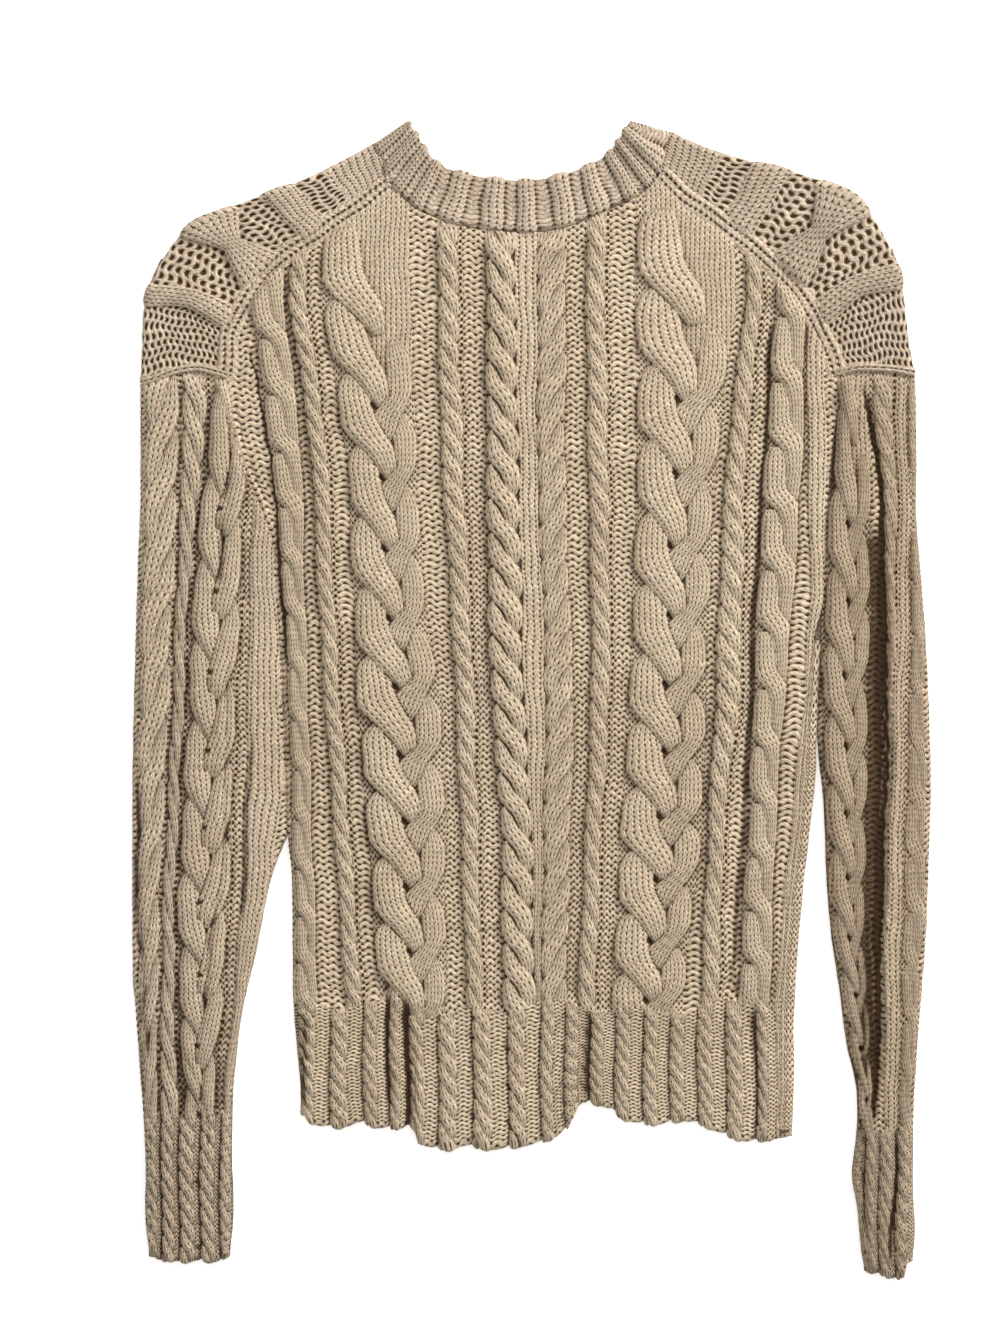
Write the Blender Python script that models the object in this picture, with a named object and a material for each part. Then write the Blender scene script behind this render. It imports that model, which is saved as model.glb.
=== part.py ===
"""A cable knit crew neck sweater, lying flat on its front with its back panel up.

Five pieces of knit, each one closed wall of cloth: the back panel, the front panel that
wraps over both shoulders as the yokes, two sleeves flattened into two layers, and the
ribbed neckband ring. The cables and ribs stand up out of the walls' outer faces. The
inner faces are plain, and the undersides rest flat on the surface.

Frame: metres, +Z up, +Y towards the neck, +X to the right as seen from above. The origin
is at the centre of the garment's footprint, on the surface. Tables are in millimetres.
"""
import math

import bpy
from mathutils import Vector
from mathutils.geometry import delaunay_2d_cdt, intersect_point_line

MM = 0.001

# Driving dimensions
WALL = 3.1 * MM                     # one plain layer of knit
LAYER_GAP = 0.6 * MM                # air between the two layers of the garment
SEAM_GAP = 0.4 * MM                 # between two pieces along a seam
STACK = 2 * WALL + LAYER_GAP        # both layers, without their relief
FOLD_RADIUS = STACK / 2             # outside of a folded edge
INNER_RADIUS = LAYER_GAP / 2        # inside of a folded edge
STEP = 11 * MM                      # along outlines
ROW_STEP = 8.05 * MM                # between rows of relief points: half a small cable's repeat
EDGE_MARGIN = 2.6 * MM              # relief points keep this far inside an outline
RIM_FADE = 6.5 * MM                 # relief reaches its full height this far inside an outline
FOLD_ANGLES = (32, -32)             # points round a folded edge, in degrees
FLAP_STEPS = 6                      # points from a yoke's fold to its seam

# Outlines shared by the pieces that meet there: x, y
HEM = [(-144, -253), (-137, -262), (-121, -265), (-107, -262), (-95, -265), (-74, -266),
       (-71, -274), (-54, -278), (-43, -275), (-26, -277), (-8, -276), (8, -273), (21, -266),
       (26, -256), (31, -250), (48, -253), (55, -259), (73, -263), (96, -261), (114, -267),
       (129, -273), (152, -273)]
LEFT_SIDE = [(-158, 52), (-154, -1), (-152, -77), (-149, -113), (-148, -187), (-144, -253)]
LEFT_ARMHOLE = [(-190, 197), (-188, 185), (-185, 166), (-181, 151), (-176, 135), (-170, 122),
                (-160, 91), (-158, 52)]
RIGHT_ARMHOLE = [(179, 36), (180, 61), (182, 117), (185, 148), (188, 179), (189, 199)]
FRONT_NECK = [(87, 351), (85, 312), (76, 275), (54, 243), (23, 228), (0, 225), (-23, 228),
              (-54, 240), (-82, 271), (-96, 309), (-99, 344)]

# The front wraps round the right side: edge x, edge y, seam x, seam y, bow
RIGHT_WRAP = [(160, -268, 152, -272, 0), (162, -240, 153, -240, 0), (162, -199, 153, -199, 0),
              (164, -162, 155, -162, 0), (167, -125, 158, -125, 0), (171, -88, 163, -88, 0),
              (175, -51, 166, -51, 0), (176, -23, 168, -23, 0), (179, 36, 173.5, 37, 0)]

# The yokes, in rows from the neck to the sleeve, each along a line of stitches that
# crosses the shoulder fold: fold x, fold y, seam x, seam y, bow towards the neck
LEFT_YOKE = [(-99, 344, -90, 320, 0), (-119, 333, -104, 308, 0), (-144, 321, -121, 297, 0),
             (-168, 312, -135, 287, 0), (-191, 303, -150, 277, 0), (-212, 293, -164, 266, 0),
             (-227, 276, -175, 251, 1), (-237, 256, -184, 235, 2), (-241, 240, -188, 225, 3),
             (-242, 219, -189, 211, 4), (-243, 197, -190, 197, 6)]
RIGHT_YOKE = [(87, 351, 79, 326, 0), (107, 342, 95, 310, 0), (132, 334, 111, 299, 0),
              (160, 327, 127, 287, 0), (184, 319, 141, 276, 0), (203, 308, 154, 263, 0),
              (217, 289, 165, 251, 1), (226, 269, 173, 238, 2), (230, 250, 179, 226, 2),
              (233, 224, 185, 213, 2), (237, 202, 189, 199, 2)]
YOKE_SPLIT = 4                      # stations for each row of a yoke's table
WRAP_SPLIT = 4                      # and of the wrap's
YOKE_WAIST = 0.35                   # share of its width that a yoke's cable loses at its waist
WAIST_PLACE = 0.36                  # where the waist is, from the fold to the seam

# Cables that cross a yoke: row, half width in rows, height
LEFT_YOKE_CABLES = [(3.25, 0.6, 2.4), (5.25, 0.9, 3.8), (7.5, 0.7, 2.8)]
RIGHT_YOKE_CABLES = [(3.25, 0.6, 2.4), (5.0, 0.9, 3.8), (7.25, 0.7, 2.8)]

# The neckband from the left shoulder over the back to the right: seam x, y, edge x, y
BACK_BAND = [(-99, 344, -78, 358), (-94, 331, -74, 352.5), (-90, 320, -69, 345),
             (-80, 310, -63.5, 336), (-67, 301, -54, 329), (-44, 293, -37, 324),
             (-20, 290, -18, 321.5), (0, 289, -1.5, 321), (23, 293, 18, 324.5),
             (42, 301, 34, 330), (62, 310, 47, 337.5), (72, 317, 52, 344), (79, 326, 56, 350),
             (87, 351, 61, 358.5)]
# and on round the front: the same columns
FRONT_BAND = [(87, 351, 61, 358.5), (85, 312, 60, 328), (76, 275, 51, 293), (54, 243, 29, 266),
              (23, 228, 13, 261), (0, 225, -2, 258), (-23, 228, -20, 262), (-54, 240, -38, 272),
              (-82, 271, -58, 294), (-96, 309, -72, 328), (-99, 344, -78, 358)]
BAND_RIBS = 12                      # ribs that show along the back
BAND_RIB_HEIGHT = 2.2 * MM
BAND_STEPS = 3                      # points across the band
BAND_SPLIT = 4                      # stations for each row of the back band's table
FRONT_BAND_SPLIT = 2                # and of the front band's

# Relief heights above the purl ground
PLAIT, SMALL, MEDIUM, SIDE, RIB = 5.0 * MM, 3.2 * MM, 3.8 * MM, 4.6 * MM, 1.4 * MM

# Heights on the back at which its columns are measured, from the shoulders down
LEVELS = (247, 151, 61, -1, -72, -187)
# The back's columns: kind, then the left and right edge's x at each level
BACK_COLUMNS = [
    ("side", (-172, -166, -154, -151, -149, -147), (-154, -150, -140, -137, -134, -133)),
    ("small", (-152, -138, -133, -129, -124, -116), (-140, -127, -123, -119, -114, -106)),
    ("plait", (-131, -115, -111, -109, -103, -95), (-76, -72, -67, -57, -54, -54)),
    ("small", (-59, -57, -51, -48, -45, -41), (-46, -43, -39, -36, -34, -31)),
    ("medium", (-29, -29, -28, -26, -20, -19), (-10, -8, -6, -5, 0, 2)),
    ("rib", (-9, -7, -5, -4, 1, 2.5), (3, 2, 6, 8, 6, 4.5)),
    ("mirrored", (4, 3, 7, 9, 7, 5.5), (21, 20, 23, 26, 24, 21)),
    ("small", (33, 36, 36, 36, 33, 28), (45, 49, 48, 48, 43, 39)),
    ("plait", (64, 65, 62, 60, 55, 49), (126, 114, 109, 107, 106, 93)),
    ("small", (132, 120, 115, 113, 109, 104), (142, 132, 130, 129, 119, 115)),
    ("side", (150, 144, 142, 141, 133, 127), (166, 166, 165, 160, 148, 144)),
    ("rib", (172, 173, 168, 164, 158, 150.5), (178, 178, 171, 167, 160, 151.5)),
]
# Where relief points stand across a column of each kind, and how often its form repeats
ACROSS = {
    "plait": (0.0, 0.12, 0.28, 0.44, 0.56, 0.72, 0.88, 1.0),
    "side": (0.0, 0.2, 0.5, 0.8, 1.0),
    "medium": (0.0, 0.3, 0.7, 1.0),
    "mirrored": (0.0, 0.3, 0.7, 1.0),
    "small": (0.0, 0.5, 1.0),
    "rib": (0.0, 0.5, 1.0),
}
# A cable's ropes, in shares of its width and repeat: the rope's place where it comes up and
# where it goes under, its half width, how late it starts, its length and its height
ROPES = {
    "plait": [(0.16, 0.54, 0.18, 0.0, 1.5, 1.0), (0.86, 0.52, 0.17, 0.45, 1.4, 0.7)],
    "side": [(0.3, 0.72, 0.32, 0.0, 1.5, 1.0)],
}
ROPE_REST = (0.2, 0.15)             # share of a repeat that a rope runs straight at its two ends
ROPE_SWELL = 0.4                    # share of its height that a rope gains in its middle
TWIST_LEAN = 0.5                    # turns between the two edges of a two-strand cable
TWIST_SWELL = 0.2                   # share of its height by which such a cable rises and sinks
CREST_SHIFT = 0.12                  # share of its width by which its crest sways
ROW_LEAN = 0.03                     # rows rise by this slope across a cable, with its ropes' lean
REPEAT = {"plait": 45.3 * MM, "side": 41 * MM, "medium": 21.7 * MM, "mirrored": 21.7 * MM,
          "small": 16.1 * MM, "rib": 1.0}

# Hem rib: top of the ribbing, valleys between its ribs, height, and the deepest fold
RIB_TOP = -192 * MM
HEM_VALLEYS = (-143, -125.5, -105, -89, -77, -58.5, -37, -15, 5, 20, 35.5, 51, 68.5, 85, 102,
               120, 139, 151)
RIB_ACROSS = ((0.0, 0.0), (0.2, 1.0), (0.5, 0.9), (0.75, 0.3))      # place, share of height
HEM_RIB_HEIGHT = 3.0 * MM
# Folds in the hem: x, half width, height, and the y where each begins
HEM_FOLDS = [(-81, 9, -2.0, -175), (-20, 52, 2.6, -150), (34, 8, -1.2, -200)]
HEM_FOLD_FADE = 45 * MM             # how far down a fold has its full height

# Left sleeve: x, y down its outer edge and up its inner edge, and along its cuff
LEFT_SLEEVE_OUTER = [(-243, 197), (-243, 166), (-243, 123), (-245, 73), (-247, -1), (-248, -63),
                     (-248, -162), (-246, -193), (-243, -234), (-240, -280), (-240, -323),
                     (-238, -342)]
LEFT_SLEEVE_CUFF = [(-238, -342), (-225, -347), (-206, -347), (-188, -344)]
LEFT_SLEEVE_INNER = [(-188, -344), (-186, -320), (-187, -280), (-186, -243), (-183, -212),
                     (-179, -187), (-173, -162), (-168, -137), (-163, -113), (-156, -92),
                     (-152, -77), (-154, -1), (-158, 52)]
# Its columns across the sleeve: place, half width (as shares of the width), height, repeat
LEFT_SLEEVE_CABLES = [(0.13, 0.12, 2.0, 30), (0.33, 0.06, 2.8, 16.1), (0.51, 0.12, 4.6, 49),
                      (0.72, 0.10, 3.2, 49), (0.92, 0.05, 1.4, 30)]
LEFT_CUFF_RIBS = [(0.09, 0.08, 2.6, 16.1), (0.29, 0.08, 2.6, 16.1), (0.51, 0.09, 2.6, 16.1),
                  (0.74, 0.09, 2.6, 16.1), (0.93, 0.06, 2.6, 16.1)]
LEFT_CUFF_TOP = -262 * MM

RIGHT_SLEEVE_INNER = [(179, 36), (177, -23), (181, -63), (183, -113), (186, -147), (191, -181),
                      (195, -212), (201, -240), (202, -264), (200, -289), (199, -311),
                      (202, -333), (207, -353)]
RIGHT_SLEEVE_CUFF = [(207, -353), (222, -358), (231, -357), (237, -337)]
RIGHT_SLEEVE_OUTER = [(237, -337), (236, -311), (236, -261), (238, -224), (241, -184),
                      (244, -144), (246, -88), (247, -51), (245, 11), (242, 61), (238, 111),
                      (238, 160), (237, 202)]
RIGHT_SLEEVE_CABLES = [(0.18, 0.15, 4.6, 47), (0.42, 0.08, 2.4, 47), (0.56, 0.05, -2.0, 0),
                       (0.70, 0.06, 1.6, 0), (0.88, 0.10, 2.6, 36)]
RIGHT_CUFF_RIBS = [(0.12, 0.10, 2.4, 16.1), (0.46, 0.14, 2.8, 16.1), (0.82, 0.13, 2.8, 16.1)]
RIGHT_CUFF_TOP = -268 * MM
SLEEVE_SWELL = 0.22                 # share of its height by which a sleeve's cable rises and sinks
SLEEVE_TWIST = 0.25                 # turns across half the width of such a cable
WIDE_CABLE = 0.09                   # half width, as a share, from which a cable has four points
PLACE_MARGIN = 0.04                 # relief points keep this share of the width from each edge
PLACE_GAP = 0.02                    # and this share from each other

CREAM, YOKE_CREAM, BAND_CREAM = (0.64, 0.52, 0.35), (0.60, 0.49, 0.34), (0.60, 0.48, 0.35)

SAME_POINT = 1e-7                   # points closer than this are one
LONGEST_MITRE = 2                   # times the distance by which a corner may move


def curve_through(rows, splits):
    """Points on a smooth curve through rows of numbers, with each stretch split in equal parts."""
    rows = [Vector(row) for row in rows]
    ends = [2 * rows[0] - rows[1]] + rows + [2 * rows[-1] - rows[-2]]
    points = []
    for i in range(len(rows) - 1):
        p0, p1, p2, p3 = ends[i:i + 4]
        for k in range(splits[i]):
            t = k / splits[i]
            bend = (2 * p0 - 5 * p1 + 4 * p2 - p3) * t * t + (3 * p1 - p0 - 3 * p2 + p3) * t ** 3
            points.append((2 * p1 + (p2 - p0) * t + bend) / 2)
    points.append(rows[-1])
    return points


def outline(table, step=STEP):
    """A smooth line through a table of x, y in millimetres, with points about one step apart."""
    rows = [(x * MM, y * MM) for x, y in table]
    splits = [max(1, round(math.dist(a, b) / step)) for a, b in zip(rows, rows[1:])]
    return curve_through(rows, splits)


def stations(table, split):
    """Rows of a wrap or yoke table in metres, each stretch split in equal parts."""
    rows = [[value * MM for value in row] for row in table]
    return curve_through(rows, [split] * (len(rows) - 1))


def smooth_step(value, low, high):
    """0 below low, 1 above high, and a smooth rise between them."""
    t = min(1, max(0, (value - low) / (high - low)))
    return t * t * (3 - 2 * t)


def dome(distance):
    """A rounded ridge: 1 on its crest and 0 from a distance of 1."""
    return math.sqrt(max(0, 1 - distance * distance))


class Cloth:
    """One wall of cloth: outer points, the inner points behind them, and the faces over both."""

    def __init__(self):
        self.outer = []
        self.inner = []
        self.outer_faces = []
        self.inner_faces = []

    def point(self, x, y, outer_z, inner_z=None):
        """Adds a point. Without inner_z it is a relief point, on the outer face alone."""
        return self.point_pair((x, y, outer_z), None if inner_z is None else (x, y, inner_z))

    def point_pair(self, outer, inner):
        self.outer.append(outer)
        self.inner.append(inner)
        return len(self.outer) - 1

    def strip(self, section, following):
        """Faces over both sides between two sections with the same number of points."""
        for k in range(len(section) - 1):
            quad = (section[k], section[k + 1], following[k + 1], following[k])
            self.outer_faces.append(quad)
            self.inner_faces.append(quad)

    def triangles(self, loop, relief, face_up):
        """Triangles inside a loop of points, over the relief points in it."""
        ids = loop + relief
        spots = [Vector(self.outer[i][:2]) for i in ids]
        edges = [(i, (i + 1) % len(loop)) for i in range(len(loop))]
        found, _, faces, origin, _, _ = delaunay_2d_cdt(spots, edges, [], 1, SAME_POINT)
        triangles = []
        for face in faces:
            a, b, c = (found[i] for i in face)
            turned_up = (b - a).cross(c - a) > 0
            corners = [ids[origin[i][0]] for i in face]
            triangles.append(tuple(corners if turned_up == face_up else reversed(corners)))
        return triangles

    def fill(self, loop, relief=(), face_up=True):
        """A sheet inside a loop, with relief points on its outer face and a plain inner face."""
        self.outer_faces += self.triangles(loop, list(relief), face_up)
        self.inner_faces += self.triangles(loop, [], face_up)

    def build(self, name, colour):
        """Closes the wall along its rims and makes the object."""
        behind = {}
        vertices = list(self.outer)
        for i in sorted({i for face in self.inner_faces for i in face}):
            behind[i] = len(vertices)
            vertices.append(self.inner[i])
        faces = list(self.outer_faces)
        faces += [tuple(behind[i] for i in reversed(face)) for face in self.inner_faces]
        edges = {(f[k - 1], f[k]) for f in self.outer_faces for k in range(len(f))}
        for a, b in sorted(edges):
            if (b, a) not in edges:
                faces.append((b, a, behind[a], behind[b]))
        mesh = bpy.data.meshes.new(name)
        mesh.from_pydata(vertices, [], faces)
        mesh.validate()
        mesh.shade_smooth()
        mesh.set_sharp_from_angle(angle=math.radians(60))
        mesh.materials.append(knit_material(name, colour))
        part = bpy.data.objects.new(name, mesh)
        bpy.context.scene.collection.objects.link(part)
        return part


def knit_material(name, colour):
    """Matt cotton in one colour."""
    material = bpy.data.materials.new(name + "_cotton")
    material.use_nodes = True
    shader = material.node_tree.nodes["Principled BSDF"]
    shader.inputs["Base Color"].default_value = (*colour, 1)
    shader.inputs["Roughness"].default_value = 0.9
    shader.inputs["Metallic"].default_value = 0.0
    return material


def normals_of(loop):
    """Unit vectors to the left of a closed loop at its points, and how far a mitre reaches."""
    found = []
    for before, point, after in zip(loop[-1:] + loop, loop, loop[1:] + loop[:1]):
        sides = [(point - before).normalized(), (after - point).normalized()]
        left = [Vector((-v.y, v.x)) for v in sides]
        mean = (left[0] + left[1]).normalized()
        found.append((mean, min(LONGEST_MITRE, 1 / mean.dot(left[0]))))
    return found


def drawn_in(loop, distance=SEAM_GAP / 2):
    """A counter-clockwise loop moved inwards, which leaves each seam its gap."""
    moves = normals_of(loop)
    return [point + mean * reach * distance for point, (mean, reach) in zip(loop, moves)]


def is_inside(spot, loop):
    """Whether a spot is in a closed loop, by counting the edges that a ray crosses."""
    inside = False
    for a, b in zip(loop, loop[1:] + loop[:1]):
        if (a.y > spot.y) != (b.y > spot.y):
            if spot.x < a.x + (spot.y - a.y) * (b.x - a.x) / (b.y - a.y):
                inside = not inside
    return inside


def distance_to(spot, loop):
    """How far a spot lies from a closed loop."""
    nearest = 1.0
    for a, b in zip(loop, loop[1:] + loop[:1]):
        if min(abs(spot.x - a.x), abs(spot.y - a.y)) > nearest + STEP:
            continue
        on_line, share = intersect_point_line(spot, a, b)
        on_line = a if share < 0 else b if share > 1 else on_line
        nearest = min(nearest, (spot - on_line.xy).length)
    return nearest


def at_level(values, y):
    """A column edge's x at a height, between the levels where it is measured."""
    if y >= LEVELS[0] * MM:
        return values[0] * MM
    for k in range(len(LEVELS) - 1):
        high, low = LEVELS[k] * MM, LEVELS[k + 1] * MM
        if y >= low:
            t = (high - y) / (high - low)
            return (values[k] * (1 - t) + values[k + 1] * t) * MM
    return values[-1] * MM


def rope_height(kind, u, turn):
    """Height of a cable's ropes, as a share of its full height. Each rope lies over the next."""
    highest = 0
    for start_u, end_u, half_width, late, length, share in ROPES[kind]:
        along = (turn - late) % 1
        while along <= length:
            crossed = smooth_step(along, ROPE_REST[0], length - ROPE_REST[1])
            middle = start_u + (end_u - start_u) * crossed
            swell = 1 - ROPE_SWELL + ROPE_SWELL * math.sin(math.pi * along / length)
            highest = max(highest, share * swell * dome((u - middle) / half_width))
            along += 1
    return highest


def cable_height(kind, u, y):
    """Height of a cable over the ground, at a share of its width and a height on the panel."""
    turn = -y / REPEAT[kind]
    if kind == "rib":
        return RIB * dome(2 * u - 1)
    if kind in ROPES:
        return (PLAIT if kind == "plait" else SIDE) * rope_height(kind, u, turn)
    height = SMALL if kind == "small" else MEDIUM
    lean = -TWIST_LEAN if kind == "mirrored" else TWIST_LEAN
    swell = 1 - TWIST_SWELL + TWIST_SWELL * math.cos(math.tau * (turn - lean * (u - 0.5)))
    return height * swell * dome(2 * u - 1)


def crest_shift(kind, u, y):
    """How far the crest of a two-strand cable leans to one side, as a share of its width."""
    if kind not in ("small", "medium", "mirrored") or u in (0.0, 1.0):
        return 0
    sway = -CREST_SHIFT if kind == "mirrored" else CREST_SHIFT
    return sway * math.cos(math.tau * -y / REPEAT[kind])


def rows_of(loop):
    """Heights of the rows of relief points over a loop."""
    low = min(p.y for p in loop)
    high = max(p.y for p in loop)
    first = math.ceil(low / ROW_STEP)
    return [k * ROW_STEP for k in range(first, math.ceil(high / ROW_STEP))]


def hem_fold_height(x, y):
    """Height that the hem's large folds add or take."""
    total = 0
    for middle, half_width, height, start_y in HEM_FOLDS:
        wave = math.cos(min(1, abs(x - middle * MM) / (half_width * MM)) * math.pi / 2) ** 2
        total += height * MM * wave * smooth_step(start_y * MM - y, 0, HEM_FOLD_FADE)
    return total


def hem_relief(y):
    """Relief spots across the hem rib at one height: x, y, height."""
    spots = []
    for left, right in zip(HEM_VALLEYS, HEM_VALLEYS[1:]):
        for place, share in RIB_ACROSS:
            x = (left + (right - left) * place) * MM
            spots.append((x, y, HEM_RIB_HEIGHT * share))
    return spots


def back_relief(y):
    """Relief spots across the back's cables at one height: x, y, height."""
    spots = []
    for kind, left_edge, right_edge in BACK_COLUMNS:
        left, right = at_level(left_edge, y), at_level(right_edge, y)
        lean = -ROW_LEAN if kind == "mirrored" else ROW_LEAN
        for place in ACROSS[kind]:
            rise = lean * (right - left) * place
            x = left + (right - left) * (place + crest_shift(kind, place, y))
            spots.append((x, y + rise, cable_height(kind, place, y + rise)))
    return spots


def make_back(loop):
    """The back panel: a single sheet over the front, with its cables on top."""
    cloth = Cloth()
    loop = drawn_in(loop)
    rim = [cloth.point(p.x, p.y, STACK, WALL + LAYER_GAP) for p in loop]
    relief = []
    for row in rows_of(loop):
        for x, y, height in hem_relief(row) if row < RIB_TOP else back_relief(row):
            spot = Vector((x, y))
            if is_inside(spot, loop):
                room = distance_to(spot, loop)
                if room > EDGE_MARGIN:
                    height = (height + hem_fold_height(x, y)) * smooth_step(room, 0, RIM_FADE)
                    relief.append(cloth.point(x, y, STACK + height))
    cloth.fill(rim, relief)
    return cloth.build("back", CREAM)


def folded_edge(cloth, centre, inward):
    """Points round a folded edge, from its top to its underside."""
    section = []
    for angle in (90, *FOLD_ANGLES, -90):
        out = math.cos(math.radians(angle))
        up = math.sin(math.radians(angle))
        pair = []
        for radius in (FOLD_RADIUS, INNER_RADIUS):
            spot = centre - inward * radius * out
            pair.append((spot.x, spot.y, FOLD_RADIUS + radius * up))
        section.append(cloth.point_pair(*pair))
    return section


def cables_over(table, place, y):
    """Height at a share of a sleeve's width, from a table of its cables."""
    total = 0
    for middle, half_width, height, repeat in table:
        ridge = dome((place - middle) / half_width)
        if repeat:
            turn = -y / (repeat * MM) - SLEEVE_TWIST * place / half_width
            ridge *= 1 - SLEEVE_SWELL + SLEEVE_SWELL * math.cos(math.tau * turn)
        total += height * MM * ridge
    return total


def sleeve_places(table):
    """Shares of the width where relief points stand: each cable's edges and crest."""
    places = set()
    for middle, half_width, _, _ in table:
        steps = (-1, -0.5, 0.5, 1) if half_width > WIDE_CABLE else (-1, 0, 1)
        places.update(round(middle + half_width * step, 3) for step in steps)
    places = sorted(p for p in places if PLACE_MARGIN < p < 1 - PLACE_MARGIN)
    return [p for i, p in enumerate(places) if i == 0 or p - places[i - 1] > PLACE_GAP]


def crossing(line, y):
    """Where a line crosses a height, as x."""
    for a, b in zip(line, line[1:]):
        if (a.y - y) * (b.y - y) <= 0 and a.y != b.y:
            return a.x + (b.x - a.x) * (y - a.y) / (b.y - a.y)
    return None


def make_sleeve(name, left_fold, cuff, right_fold, top, armhole, cables, ribs, rib_top):
    """A sleeve flattened into two layers, folded along its two edges and open at both ends.

    left_fold runs down to the cuff, right_fold up from it, and top back along the seam to
    the body, of which armhole is the stretch that rises.
    """
    lines = (left_fold, cuff, right_fold, top)
    corners = [sum(len(line) - 1 for line in lines[:k]) for k in range(5)]
    loop = drawn_in([point for line in lines for point in line[:-1]])
    on_fold = [i <= corners[1] or corners[2] <= i <= corners[3] for i in range(len(loop))]
    cloth = Cloth()
    tops, bottoms, sections = [], [], []
    for point, (inward, _), is_folded in zip(loop, normals_of(loop), on_fold):
        if is_folded:
            section = folded_edge(cloth, point + inward * FOLD_RADIUS, inward)
        else:
            section = [cloth.point(point.x, point.y, STACK, WALL + LAYER_GAP),
                       cloth.point(point.x, point.y, 0, WALL)]
        sections.append(section)
        tops.append(section[0])
        bottoms.append(section[-1])
    for i in [*range(corners[0], corners[1]), *range(corners[2], corners[3])]:
        cloth.strip(sections[i], sections[i + 1])
    relief = []
    top_loop = [Vector(cloth.outer[i][:2]) for i in tops]
    for y in rows_of(top_loop):
        left = crossing(left_fold, y) or crossing(armhole, y)
        right = crossing(right_fold, y) or crossing(armhole, y)
        if not (left and right):
            continue
        table = ribs if y < rib_top else cables
        for share in sleeve_places(table):
            across = (right - left) * share
            spot = Vector((left + across, y + ROW_LEAN * across))
            if is_inside(spot, top_loop):
                room = distance_to(spot, top_loop)
                if room > EDGE_MARGIN:
                    height = cables_over(table, share, spot.y) * smooth_step(room, 0, RIM_FADE)
                    relief.append(cloth.point(spot.x, spot.y, STACK + height))
    cloth.fill(tops, relief)
    cloth.fill(bottoms, face_up=False)
    return cloth.build(name, CREAM)


def yoke_height(cables, row, share):
    """Relief on a yoke at a row of its table: cables narrow to a waist and flare at the seam."""
    total = 0
    for middle, half_width, height in cables:
        waist = 1 - YOKE_WAIST * math.sin(math.pi * min(1, share / (2 * WAIST_PLACE)))
        total += height * MM * dome((row - middle) / (half_width * waist))
    return total


def flap_spots(station, steps=FLAP_STEPS):
    """Spots from a fold's centre line to its seam, which bow towards the neck."""
    edge, seam, bow = Vector(station[0:2]), Vector(station[2:4]), station[4]
    inward = (seam - edge).normalized()
    side = Vector((0, 1))
    start = edge + inward * FOLD_RADIUS
    end = seam - inward * SEAM_GAP / 2
    spots = []
    for k in range(steps + 1):
        share = k / steps
        spots.append(start.lerp(end, share) + side * bow * 4 * share * (1 - share))
    return spots, inward


def make_flap(cloth, table_stations, steps, height_at):
    """Sections of cloth that wrap round an edge and lie back over the top, seam first."""
    sections = []
    last = len(table_stations) - 1
    for i, station in enumerate(table_stations):
        spots, inward = flap_spots(station, steps)
        pull = Vector((0, 0))
        if i in (0, last):
            neighbour, _ = flap_spots(table_stations[1 if i == 0 else last - 1], steps)
            pull = (neighbour[0] - spots[0]).normalized() * SEAM_GAP / 2
        top = []
        for k in range(steps, 0, -1):
            spot = spots[k] + pull
            height = height_at(i, k / steps)
            top.append(cloth.point(spot.x, spot.y, STACK + height, WALL + LAYER_GAP))
        sections.append(top + folded_edge(cloth, spots[0] + pull, inward))
    return sections


def no_relief(station, share):
    """The wrap round the side is plain."""
    return 0


def yoke_relief(cables, count):
    """The height function of a yoke whose stations run from the neck to the sleeve."""
    def height_at(station, share):
        if station in (0, count - 1) or share == 1:
            return 0
        return yoke_height(cables, station / YOKE_SPLIT, share)
    return height_at


def make_front(wrap, right_yoke, left_yoke):
    """The front panel: the lower layer, its wrap round the right side, and both yokes."""
    cloth = Cloth()
    flaps = {
        "wrap": make_flap(cloth, wrap, 2, no_relief),
        "right": make_flap(cloth, right_yoke, FLAP_STEPS,
                           yoke_relief(RIGHT_YOKE_CABLES, len(right_yoke)))[::-1],
        "left": make_flap(cloth, left_yoke, FLAP_STEPS,
                          yoke_relief(LEFT_YOKE_CABLES, len(left_yoke))),
    }
    right_top = [Vector(spot) for spot in flap_spots(right_yoke[-1])[0]]
    left_top = [Vector(spot) for spot in flap_spots(left_yoke[-1])[0]]
    hem = outline(HEM)
    open_runs = {
        "wrap": outline(RIGHT_ARMHOLE)[1:] + right_top[:0:-1][1:],
        "right": outline(FRONT_NECK)[1:-1],
        "left": left_top[1:-1] + outline(LEFT_ARMHOLE) + outline(LEFT_SIDE)[1:] + hem[1:-1],
    }
    floor = []
    for side in ("wrap", "right", "left"):
        sections = flaps[side]
        for section, following in zip(sections, sections[1:]):
            cloth.strip(section, following)
        floor += [section[-1] for section in sections]
        floor += [cloth.point(p.x, p.y, 0, WALL) for p in open_runs[side]]
    spots = [Vector(cloth.outer[i][:2]) for i in floor]
    on_fold = {section[-1] for sections in flaps.values() for section in sections}
    for i, spot in zip(floor, drawn_in(spots)):
        if i not in on_fold:
            cloth.outer[i] = (spot.x, spot.y, 0)
            cloth.inner[i] = (spot.x, spot.y, WALL)
    cloth.fill(floor, face_up=False)
    return cloth.build("front", YOKE_CREAM)


def band_station(cloth, seam, edge, outer_at, inner_at, lift, out):
    """Points across the band at one station. outer_at and inner_at give how far out and up each is."""
    seam = seam + (edge - seam).normalized() * SEAM_GAP / 2
    ids = []
    for k in range(BAND_STEPS + 1):
        spot = seam.lerp(edge, k / BAND_STEPS)
        rise = lift if 0 < k < BAND_STEPS else 0.5 * lift
        outer = spot + out * outer_at[0]
        inner = spot + out * inner_at[0]
        pair = ((outer.x, outer.y, outer_at[1] + rise), (inner.x, inner.y, inner_at[1]))
        ids.append(cloth.point_pair(*pair))
    return ids


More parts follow.
